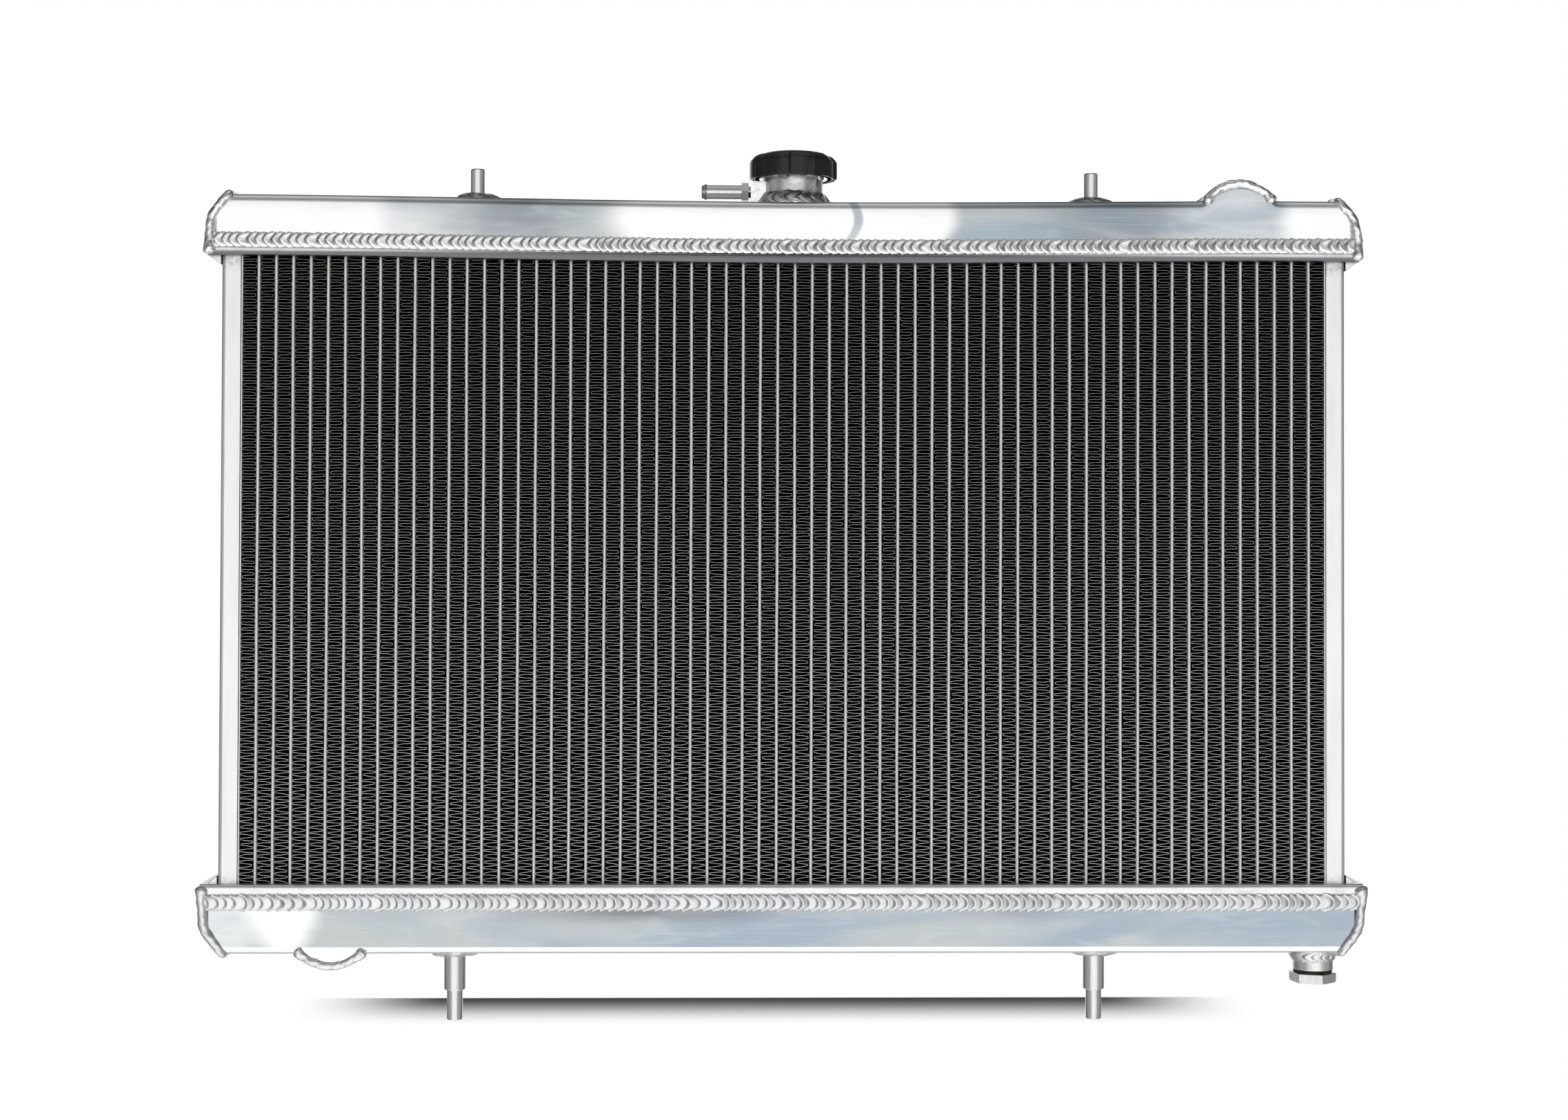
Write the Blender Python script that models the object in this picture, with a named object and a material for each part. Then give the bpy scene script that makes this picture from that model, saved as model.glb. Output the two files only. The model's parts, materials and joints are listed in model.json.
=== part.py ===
"""Car radiator: an all-aluminium core of upright flat tubes between two welded tanks.

Millimetres throughout, turned into Blender's metres when a mesh is made. +Z is up, +X runs to
the right seen from the grille side, and +Y points back to the engine. The origin lies on the
core's middle lines, level with the shoulders of the two lower pins.
"""

import math

import bmesh
import bpy
from mathutils import Vector

MM = 0.001
GAP = 0.3  # clearance between two pieces that rest on each other
FULL_TURN = 2 * math.pi

# --- Core ---------------------------------------------------------------------------------
TUBE_COUNT = 62
TUBE_PITCH = 10.12
TUBE_THICKNESS = 1.9
TUBE_DEPTH = 52.0
TUBE_WALL = 0.4
TUBE_END = 4.4  # how far a tube reaches into a tank, from the core side of its header
FIN_WEB = 2.6  # depth of the web that holds the metal of one folded fin strip
CORE_HEIGHT = 368.0
SIDE_STRIP_THICKNESS = 0.8
SIDE_PLATE_WIDTH = 11.3
SIDE_PLATE_WALL = 1.6
SIDE_PLATE_BEND = 2.4

# --- Headers and tanks --------------------------------------------------------------------
SHEET = 2.0
TANK_DEPTH = 60.0
TANK_EDGE_RADIUS = 4.0
HEADER_LIP = 4.6
HEADER_BEND = 2.2
END_PLATE = 4.0
TOP_TANK_HEIGHT = 35.5
TOP_TANK_OVERHANG = 7.27
TOP_END_SLOPE = (10.3, 11.0)  # how far the sloped corner runs in and down
BOTTOM_TANK_HEIGHT = 39.5
BOTTOM_TANK_OVERHANG = 9.27
BOTTOM_END_SLOPE = (11.4, 13.5)
GUSSET = (6.8, 5.6)  # width and height of the corner tabs under the headers

# --- Hose pipes, on the engine side -------------------------------------------------------
PIPE_RADIUS = 17.5
PIPE_WALL = 2.0
PIPE_LENGTH = 39.0
PIPE_BEAD = 1.4
INLET_X = 267.0
INLET_HEIGHT = 22.5  # pipe axis above the core side of the top header
INLET_HUMP_RADIUS = 24.0
OUTLET_X = -264.0
OUTLET_HEIGHT = 25.1
OUTLET_HUMP_RADIUS = 22.5

# --- Pins and drain -----------------------------------------------------------------------
PIN_Y = -8.0
TOP_PIN_X = (-183.0, 182.0)
TOP_PIN_RADIUS = 3.95
TOP_PIN_HEIGHT = 18.2
TOP_PIN_PAD_RADIUS = 15.5
LOWER_PIN_X = (-194.0, 184.0)
SHOULDER_DROP = 23.7  # from the bottom tank's underside to the shoulders
SHOULDER_RADIUS = 6.3
LOWER_PIN_RADIUS = 4.65
LOWER_PIN_LENGTH = 17.7
LOWER_PIN_PAD_RADIUS = 17.0
PAD_HEIGHT = 5.4
PIN_CHAMFER = 1.0
DRAIN_X = 315.0
DRAIN_BOSS_RADIUS = 11.8
DRAIN_BOSS_FLARE = 1.7
DRAIN_BOSS_HEIGHT = 12.2
DRAIN_SHANK_RADIUS = 6.8
DRAIN_SHANK_LENGTH = 11.8
DRAIN_SEAL = 1.3
DRAIN_HEX_FLATS = 24.0
DRAIN_HEX_HEIGHT = 5.5
DRAIN_HEX_TURN = math.radians(-79.0)

# --- Filler neck and overflow -------------------------------------------------------------
NECK_X = 4.5
NECK_RADIUS = 17.75
NECK_BORE = NECK_RADIUS - 2.25
NECK_RISE = 19.5  # flange top above the tank
SEAT_DEPTH = 16.0
SEAT_BORE = NECK_BORE - 4.0
FLANGE_RADIUS = NECK_RADIUS + 2.75
FLANGE_THICKNESS = 4.7
NECK_FLARE = 4.8
NOTCH_FROM = math.radians(-116.0)
NOTCH_TO = math.radians(-66.0)
STOP_AT = math.radians(-209.0)
STOP_HALF_ANGLE = math.radians(4.0)
PORT_DEPTH = 12.7  # overflow port's axis below the flange top
PORT_RADIUS = 2.3
PORT_BLOCK = (NECK_RADIUS + 7.75, 6.5, 6.9)  # reach from the neck's axis, half width, drop of its top
FITTING_SHANK = 5.8
FITTING_SHANK_RADIUS = 3.4
FITTING_HEX_RADIUS = 6.0
FITTING_HEX = 4.1
FITTING_GROOVE = 1.3
NIPPLE_RADIUS = 4.15
NIPPLE_LENGTH = 20.6
BARB_RADIUS = 4.9
BARB_LENGTH = 3.3

# --- Cap ----------------------------------------------------------------------------------
GASKET = 1.0
SHELL = 1.0
SHELL_RADIUS = FLANGE_RADIUS + 3.5
EAR_AT = math.radians(-107.5)
EAR_HALF_ANGLE = math.radians(6.2)
EAR_THICKNESS = 1.3
EAR_INNER_RADIUS = NECK_RADIUS + 0.55
COVER_RADIUS = SHELL_RADIUS + 2.1
COVER_WALL_CLEARANCE = 0.4
COVER_BOTTOM = -5.0
COVER_TOP = 10.5
COVER_CEILING = 5.2
GRIP_COUNT = 6
GRIP_DEPTH = 1.5
GRIP_TURN = math.radians(-81.6)
STEM_RADIUS = 3.0
RIVET_RADIUS = 5.5
RIVET_HEAD = 1.3
BELL_RADIUS = NECK_BORE - 0.9
BELL_WALL = 0.7
BELL_DEPTH = 10.0
SEAL = 2.6
SEAL_RADIUS = NECK_BORE - 2.5
PLATE_THICKNESS = 1.2
PLATE_RIM = 3.5
SPRING_RADIUS = 9.0
SPRING_WIRE = 1.6
SPRING_TURNS = 4
POPPET_RADIUS = 5.2
POPPET_THICKNESS = 1.4
POPPET_STEM_RADIUS = 1.2
POPPET_STEM_LENGTH = 9.0
VACUUM_SPRING_WIRE = 0.5
VACUUM_SPRING_TURNS = 3

SMALL_SEGMENTS = 24
LARGE_SEGMENTS = 32

# --- Levels and places that follow from the above -----------------------------------------
TANK_BOTTOM_Z = SHOULDER_DROP
CORE_BOTTOM_Z = TANK_BOTTOM_Z + BOTTOM_TANK_HEIGHT
CORE_TOP_Z = CORE_BOTTOM_Z + CORE_HEIGHT
TANK_TOP_Z = CORE_TOP_Z + TOP_TANK_HEIGHT
FIN_WIDTH = TUBE_PITCH - TUBE_THICKNESS
TUBE_X = [(i - (TUBE_COUNT - 1) / 2) * TUBE_PITCH for i in range(TUBE_COUNT)]
STRIP_X = TUBE_X[-1] + TUBE_THICKNESS / 2 + FIN_WIDTH
SIDE_PLATE_X = STRIP_X + SIDE_STRIP_THICKNESS + GAP
CORE_SIDE_X = SIDE_PLATE_X + SIDE_PLATE_WIDTH
TOP_TANK_LENGTH = 2 * (CORE_SIDE_X + TOP_TANK_OVERHANG)
BOTTOM_TANK_LENGTH = 2 * (CORE_SIDE_X + BOTTOM_TANK_OVERHANG)
TANK_FOOT = SHEET + GAP  # the tanks stand this far above a header's core side
NECK_AXIS = (NECK_X, 0.0, TANK_TOP_Z + NECK_RISE)
DRAIN_AXIS = (DRAIN_X, PIN_Y, TANK_BOTTOM_Z)


# --- Materials ----------------------------------------------------------------------------
def material(name, colour, roughness, metallic):
    made = bpy.data.materials.new(name)
    made.use_nodes = True
    shader = made.node_tree.nodes["Principled BSDF"]
    shader.inputs["Base Color"].default_value = (*colour, 1.0)
    shader.inputs["Roughness"].default_value = roughness
    shader.inputs["Metallic"].default_value = metallic
    return made


def make_materials():
    return {
        "polished": material("polished_aluminium", (0.80, 0.82, 0.85), 0.18, 1.0),
        "satin": material("satin_aluminium", (0.72, 0.73, 0.74), 0.38, 1.0),
        "tube": material("brazed_aluminium", (0.62, 0.62, 0.60), 0.45, 1.0),
        "steel": material("spring_steel", (0.55, 0.55, 0.56), 0.30, 1.0),
        "brass": material("valve_brass", (0.72, 0.55, 0.26), 0.30, 1.0),
        "plastic": material("black_plastic", (0.02, 0.02, 0.02), 0.35, 0.0),
        "rubber": material("black_rubber", (0.015, 0.015, 0.015), 0.70, 0.0),
    }


# --- Shapes -------------------------------------------------------------------------------
def arc(centre, radius, start, end, steps):
    """Points along an arc, both ends included, angles in radians."""
    return [
        (
            centre[0] + radius * math.cos(start + (end - start) * i / steps),
            centre[1] + radius * math.sin(start + (end - start) * i / steps),
        )
        for i in range(steps + 1)
    ]


def regular(count, radius, turn=0.0):
    """A regular polygon about the origin."""
    return arc((0, 0), radius, turn, turn + FULL_TURN * (count - 1) / count, count - 1)


def skin(rings):
    """A closed solid through rings of equally many points, with a flat cap at each end."""
    bm = bmesh.new()
    made = [[bm.verts.new(point) for point in ring] for ring in rings]
    count = len(made[0])
    for lower, upper in zip(made, made[1:]):
        for i in range(count):
            j = (i + 1) % count
            bm.faces.new((lower[i], lower[j], upper[j], upper[i]))
    bm.faces.new(made[0][::-1])
    bm.faces.new(made[-1])
    return bm


def prism(outline, low, high, axis):
    """An outline in the two other axes, extruded along one axis."""
    place = {
        "X": lambda a, b, level: (level, a, b),
        "Y": lambda a, b, level: (a, level, b),
        "Z": lambda a, b, level: (a, b, level),
    }[axis]
    return skin([[place(a, b, level) for a, b in outline] for level in (low, high)])


def box(low, high):
    outline = [(low[0], low[1]), (high[0], low[1]), (high[0], high[1]), (low[0], high[1])]
    return prism(outline, low[2], high[2], "Z")


def turned(profile, segments=SMALL_SEGMENTS):
    """A profile of (radius, height) spun about Z: closed where it stays off the axis."""
    bm = bmesh.new()
    verts = [bm.verts.new((radius, 0, height)) for radius, height in profile]
    edges = [bm.edges.new(pair) for pair in zip(verts, verts[1:])]
    if all(radius > 0 for radius, _ in profile):
        edges.append(bm.edges.new((verts[-1], verts[0])))
    bmesh.ops.spin(
        bm, geom=verts + edges, cent=(0, 0, 0), axis=(0, 0, 1), angle=FULL_TURN, steps=segments
    )
    bmesh.ops.remove_doubles(bm, verts=bm.verts, dist=0.001)
    return bm


def wedge(inner, outer, start, end, low, high, steps=3):
    """A piece of a ring between two angles."""
    outline = arc((0, 0), outer, start, end, steps) + arc((0, 0), inner, end, start, steps)
    return prism(outline, low, high, "Z")


def place(name, bm, finish, at=(0, 0, 0), turn=(0, 0, 0)):
    """The mesh as an object with its origin at a point, in millimetres."""
    bmesh.ops.recalc_face_normals(bm, faces=bm.faces)
    bmesh.ops.scale(bm, vec=(MM, MM, MM), verts=bm.verts)
    mesh = bpy.data.meshes.new(name)
    bm.to_mesh(mesh)
    bm.free()
    mesh.shade_smooth()
    mesh.set_sharp_from_angle(angle=math.radians(30))
    mesh.materials.append(finish)
    obj = bpy.data.objects.new(name, mesh)
    obj.location = Vector(at) * MM
    obj.rotation_euler = turn
    bpy.context.scene.collection.objects.link(obj)
    return obj


def shape(obj, operation, bm, at=(0, 0, 0), turn=(0, 0, 0)):
    """A Boolean on the object, with a hidden helper of this mesh."""
    helper = place(f"{obj.name}_{operation.lower()}_{len(obj.modifiers)}", bm, None, at, turn)
    helper.hide_render = True
    helper.display_type = "WIRE"
    modifier = obj.modifiers.new(operation.lower(), "BOOLEAN")
    modifier.operation = operation
    modifier.object = helper


def coil(name, radius, wire, low, high, turns, finish, at, points_per_turn=10):
    """A spring of round wire between two heights above its origin."""
    curve = bpy.data.curves.new(name, "CURVE")
    curve.dimensions = "3D"
    curve.bevel_depth = wire / 2 * MM
    curve.bevel_resolution = 1
    curve.use_fill_caps = True
    spline = curve.splines.new("POLY")
    count = turns * points_per_turn + 1
    spline.points.add(count - 1)
    rise = high - low - wire
    for i, point in enumerate(spline.points):
        angle = FULL_TURN * i / points_per_turn
        height = low + wire / 2 + rise * i / (count - 1)
        point.co = (radius * math.cos(angle) * MM, radius * math.sin(angle) * MM, height * MM, 1)
    curve.materials.append(finish)
    obj = bpy.data.objects.new(name, curve)
    obj.location = Vector(at) * MM
    bpy.context.scene.collection.objects.link(obj)


ALONG_Y = (-math.pi / 2, 0, 0)  # turns a shape's own +Z to +Y
ALONG_MINUS_X = (0, -math.pi / 2, 0)


# --- Core ---------------------------------------------------------------------------------
def tube_row(allowance, reach):
    """Boxes of the tubes' outline, larger or smaller all round, standing to both sides of z = 0."""
    row = bmesh.new()
    size = (TUBE_THICKNESS + 2 * allowance, TUBE_DEPTH + 2 * allowance, 2 * reach)
    for x in TUBE_X:
        made = bmesh.ops.create_cube(row, size=1)["verts"]
        bmesh.ops.scale(row, vec=size, verts=made)
        bmesh.ops.translate(row, vec=(x, 0, 0), verts=made)
    return row


def make_core(finish):
    """Flat tubes standing side by side, each joined to the next by the web of a fin strip."""
    half, web, side = TUBE_DEPTH / 2, FIN_WEB / 2, TUBE_THICKNESS / 2
    low, high = CORE_BOTTOM_Z + GAP, CORE_TOP_Z - GAP
    edge = STRIP_X - GAP
    bm = bmesh.new()
    before = [bm.verts.new((-edge, y, low)) for y in (-web, web)]
    for x in TUBE_X:
        left = [bm.verts.new((x - side, y, low)) for y in (-half, -web, web, half)]
        right = [bm.verts.new((x + side, y, low)) for y in (-half, -web, web, half)]
        bm.faces.new((before[0], left[1], left[2], before[1]))
        bm.faces.new((*right, *left[::-1]))
        before = right[1:3]
    last = [bm.verts.new((edge, y, low)) for y in (-web, web)]
    bm.faces.new((before[0], last[0], last[1], before[1]))
    lower_ends = [face for face in bm.faces if len(face.verts) > 4]
    risen = bmesh.ops.extrude_face_region(bm, geom=bm.faces[:])["geom"]
    lifted = [item for item in risen if isinstance(item, bmesh.types.BMVert)]
    bmesh.ops.translate(bm, vec=(0, 0, high - low), verts=lifted)
    upper_ends = [
        item for item in risen if isinstance(item, bmesh.types.BMFace) and len(item.verts) > 4
    ]
    for ends, reach in ((lower_ends, -TUBE_END - GAP), (upper_ends, TUBE_END + GAP)):
        made = bmesh.ops.extrude_discrete_faces(bm, faces=ends)["faces"]
        verts = {vert for face in made for vert in face.verts}
        bmesh.ops.translate(bm, vec=(0, 0, reach), verts=list(verts))
    core = place("core", bm, finish)
    middle = (CORE_BOTTOM_Z + CORE_TOP_Z) / 2
    shape(core, "DIFFERENCE", tube_row(-TUBE_WALL, CORE_HEIGHT), (0, 0, middle))


def make_sides(finishes):
    """A thin strip against the outermost fins and a folded channel outside it, on both sides."""
    low, high = CORE_BOTTOM_Z + GAP, CORE_TOP_Z - GAP
    half = TUBE_DEPTH / 2
    wall, bend = SIDE_PLATE_WALL, SIDE_PLATE_BEND
    inner, outer = SIDE_PLATE_X, CORE_SIDE_X
    quarter = math.pi / 2
    outside = [
        (inner, -half),
        *arc((outer - bend, -half + bend), bend, -quarter, 0, 3),
        *arc((outer - bend, half - bend), bend, 0, quarter, 3),
        (inner, half),
    ]
    hollow = [
        (inner, half - wall),
        (outer - wall, half - wall),
        (outer - wall, wall - half),
        (inner, wall - half),
    ]
    for name, side in (("left", -1), ("right", 1)):
        strip = sorted((side * STRIP_X, side * (STRIP_X + SIDE_STRIP_THICKNESS)))
        place(
            f"side_strip_{name}",
            box((strip[0], -half, low), (strip[1], half, high)),
            finishes["tube"],
        )
        outline = [(side * x, y) for x, y in outside + hollow]
        place(f"side_plate_{name}", prism(outline, low, high, "Z"), finishes["satin"])


# --- Headers and tanks --------------------------------------------------------------------
def header_profile(up):
    """A shallow channel whose lips stand round the tank's foot: (y, z from the core side)."""
    inner = TANK_DEPTH / 2 + GAP
    outer = inner + SHEET
    bend = HEADER_BEND
    half_turn = math.pi
    points = [
        (-inner, HEADER_LIP),
        (-outer, HEADER_LIP),
        *arc((-outer + bend, bend), bend, half_turn, 1.5 * half_turn, 3),
        *arc((outer - bend, bend), bend, 1.5 * half_turn, 2 * half_turn, 3),
        (outer, HEADER_LIP),
        (inner, HEADER_LIP),
        (inner, SHEET),
        (-inner, SHEET),
    ]
    return [(y, up * z) for y, z in points]


def tank_profile(height, inset):
    """The tank's section: (y, z from the header), rounded along its far edges."""
    half = TANK_DEPTH / 2 - inset
    top = height - inset
    radius = TANK_EDGE_RADIUS - inset
    foot = TANK_FOOT - (inset and 1.0)
    quarter = math.pi / 2
    return [
        (-half, foot),
        *arc((-half + radius, top - radius), radius, 2 * quarter, quarter, 4),
        *arc((half - radius, top - radius), radius, quarter, 0, 4),
        (half, foot),
    ]


def tank_outline(length, height, slope, inset):
    """The tank seen from the front: (x, z from the header), with its two sloped corners."""
    run, drop = slope
    hypotenuse = math.hypot(run, drop)
    beyond = length / 2 + 1
    foot = TANK_FOOT - 2
    top = height - inset
    shoulder = length / 2 - run - inset * (hypotenuse - run) / drop
    end = top - (beyond - shoulder) * drop / run
    return [(-beyond, foot), (-beyond, end), (-shoulder, top)] + [
        (shoulder, top),
        (beyond, end),
        (beyond, foot),
    ]


def make_tank(name, header_z, up, length, height, slope, pipe, finishes):
    """Header, folded tank shell, two end plates, two corner tabs and a hose pipe."""
    pipe_x, pipe_height, hump_radius = pipe
    half_length = length / 2
    half_depth = TANK_DEPTH / 2

    def section(inset):
        return [(y, up * z) for y, z in tank_profile(height, inset)]

    def outline(inset):
        return [(x, up * z) for x, z in tank_outline(length, height, slope, inset)]

    at = (0, 0, header_z)
    header = place(
        f"{name}_header",
        prism(header_profile(up), -half_length, half_length, "X"),
        finishes["satin"],
        at,
    )
    shape(header, "DIFFERENCE", tube_row(GAP, 2 * SHEET), at)

    shell_end = half_length - END_PLATE - GAP
    shell = place(
        f"{name}_tank", prism(section(0), -shell_end, shell_end, "X"), finishes["polished"], at
    )
    shape(shell, "INTERSECT", prism(outline(0), -half_depth - 1, half_depth + 1, "Y"), at)
    hump_at = (pipe_x, 0, header_z + up * pipe_height)
    hump_reach = half_depth - GAP
    shape(shell, "UNION", hump(hump_radius, hump_reach, up, pipe_height), hump_at)
    hollow = prism(section(SHEET), -half_length, half_length, "X")
    cavity = place(f"{name}_cavity", hollow, None, at)
    cavity.hide_render = True
    cavity.display_type = "WIRE"
    shape(cavity, "INTERSECT", prism(outline(SHEET), -half_depth, half_depth, "Y"), at)
    cut = shell.modifiers.new("hollow", "BOOLEAN")
    cut.operation = "DIFFERENCE"
    cut.object = cavity
    inner_hump = hump(hump_radius - SHEET, hump_reach - SHEET, up, pipe_height)
    shape(shell, "DIFFERENCE", inner_hump, hump_at)
    hole = turned([(0, 0), (PIPE_RADIUS + GAP, 0), (PIPE_RADIUS + GAP, SHEET * 4), (0, SHEET * 4)])
    shape(shell, "DIFFERENCE", hole, (pipe_x, half_depth - 2 * SHEET, hump_at[2]), ALONG_Y)

    for side_name, side in (("left", -1), ("right", 1)):
        ends = sorted((side * (half_length - END_PLATE), side * half_length))
        plate = place(
            f"{name}_tank_end_{side_name}", prism(section(0), *ends, "X"), finishes["satin"], at
        )
        shape(plate, "INTERSECT", prism(outline(0), -half_depth - 1, half_depth + 1, "Y"), at)
        inner = CORE_SIDE_X + GAP
        width, drop = GUSSET
        tab = [(inner, -GAP), (inner + width, -GAP), (inner, -GAP - drop)]
        place(
            f"corner_gusset_{name}_{side_name}",
            prism([(side * x, up * z) for x, z in tab], -TUBE_DEPTH / 2, TUBE_DEPTH / 2, "Y"),
            finishes["satin"],
            at,
        )
    return shell


def hump(radius, reach, up, pipe_height):
    """A round-topped ridge from front to back that lets a hose pipe pass the shallow tank."""
    foot = -up * (pipe_height - TANK_FOOT - SHEET)
    crown = arc((0, 0), radius, 0, math.pi, 20)
    outline = [(x, up * z) for x, z in crown] + [(-radius * 0.8, foot), (radius * 0.8, foot)]
    return prism(outline, -reach, reach, "Y")


def make_pipe(name, x, z, finish):
    """A hose pipe with a rolled bead, welded into the back of a tank."""
    start = TANK_DEPTH / 2 - SHEET + GAP
    end = TANK_DEPTH / 2 + PIPE_LENGTH
    outer, bead = PIPE_RADIUS, PIPE_RADIUS + PIPE_BEAD
    profile = [
        (outer - PIPE_WALL, start),
        (outer, start),
        (outer, end - 7.5),
        (bead, end - 6),
        (bead, end - 4.5),
        (outer, end - 3),
        (outer, end),
        (outer - PIPE_WALL, end),
    ]
    place(name, turned(profile, 32), finish, (x, 0, z), ALONG_Y)


# --- Pins and drain -----------------------------------------------------------------------
def pad(radius, pin_radius):
    """The low weld mound round a pin: (radius, height) from its rim up to the pin."""
    middle = (radius + pin_radius) / 2
    return [
        (0, GAP),
        (radius, GAP),
        (radius - 1.6, PAD_HEIGHT * 0.4),
        (middle, PAD_HEIGHT * 0.8),
        (pin_radius, PAD_HEIGHT),
    ]


def make_pins(finish):
    top = TOP_PIN_HEIGHT
    radius = TOP_PIN_RADIUS
    upper = pad(TOP_PIN_PAD_RADIUS, radius) + [
        (radius, top - PIN_CHAMFER),
        (radius - PIN_CHAMFER, top),
        (0, top),
    ]
    shoulder, end = SHOULDER_DROP, SHOULDER_DROP + LOWER_PIN_LENGTH
    lower = pad(LOWER_PIN_PAD_RADIUS, SHOULDER_RADIUS) + [
        (SHOULDER_RADIUS, shoulder - PIN_CHAMFER),
        (SHOULDER_RADIUS - PIN_CHAMFER * 0.6, shoulder),
        (LOWER_PIN_RADIUS, shoulder),
        (LOWER_PIN_RADIUS, end - PIN_CHAMFER),
        (LOWER_PIN_RADIUS - PIN_CHAMFER, end),
        (0, end),
    ]
    for side, upper_x, lower_x in zip(("left", "right"), TOP_PIN_X, LOWER_PIN_X):
        place(f"top_pin_{side}", turned(upper), finish, (upper_x, PIN_Y, TANK_TOP_Z))
        hanging = [(r, -z) for r, z in lower]
        place(f"lower_pin_{side}", turned(hanging), finish, (lower_x, PIN_Y, TANK_BOTTOM_Z))


def make_drain(bottom_tank, finishes):
    """A threaded boss, its sealing ring and the hexagon plug that screws down and out."""
    bore = DRAIN_SHANK_RADIUS + GAP
    low = -DRAIN_BOSS_HEIGHT
    boss = [
        (bore, -GAP),
        (DRAIN_BOSS_RADIUS + DRAIN_BOSS_FLARE, -GAP),
        (DRAIN_BOSS_RADIUS + DRAIN_BOSS_FLARE * 0.3, -2.8),
        (DRAIN_BOSS_RADIUS, -5.0),
        (DRAIN_BOSS_RADIUS, low),
        (bore, low),
    ]
    place("drain_boss", turned(boss, 32), finishes["satin"], DRAIN_AXIS)
    outlet = turned([(0, -SHEET), (bore, -SHEET), (bore, 2 * SHEET), (0, 2 * SHEET)])
    shape(bottom_tank, "DIFFERENCE", outlet, DRAIN_AXIS)

    seal_top = low - GAP
    seal_low = seal_top - DRAIN_SEAL
    seal_radius = DRAIN_BOSS_RADIUS - 0.4
    seal = [(bore, seal_top), (seal_radius, seal_top), (seal_radius, seal_low), (bore, seal_low)]
    place("drain_seal", turned(seal), finishes["rubber"], DRAIN_AXIS)

    hex_top = seal_low - GAP
    hex_low = hex_top - DRAIN_HEX_HEIGHT
    corner = DRAIN_HEX_FLATS / math.sqrt(3)
    hexagon = regular(6, corner, DRAIN_HEX_TURN)
    plug = place("drain_plug", prism(hexagon, hex_low, hex_top, "Z"), finishes["satin"], DRAIN_AXIS)
    chamfer = [
        (0, hex_low - 1),
        (corner - 1.7, hex_low - 1),
        (corner + 0.6, hex_low + 1.6),
        (corner + 0.6, hex_top + 1),
        (0, hex_top + 1),
    ]
    shape(plug, "INTERSECT", turned(chamfer, 36), DRAIN_AXIS)
    shank = [
        (0, hex_top - 1),
        (DRAIN_SHANK_RADIUS, hex_top - 1),
        (DRAIN_SHANK_RADIUS, hex_top + DRAIN_SHANK_LENGTH - 1),
        (DRAIN_SHANK_RADIUS - 1, hex_top + DRAIN_SHANK_LENGTH),
        (0, hex_top + DRAIN_SHANK_LENGTH),
    ]
    shape(plug, "UNION", turned(shank), DRAIN_AXIS)


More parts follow.
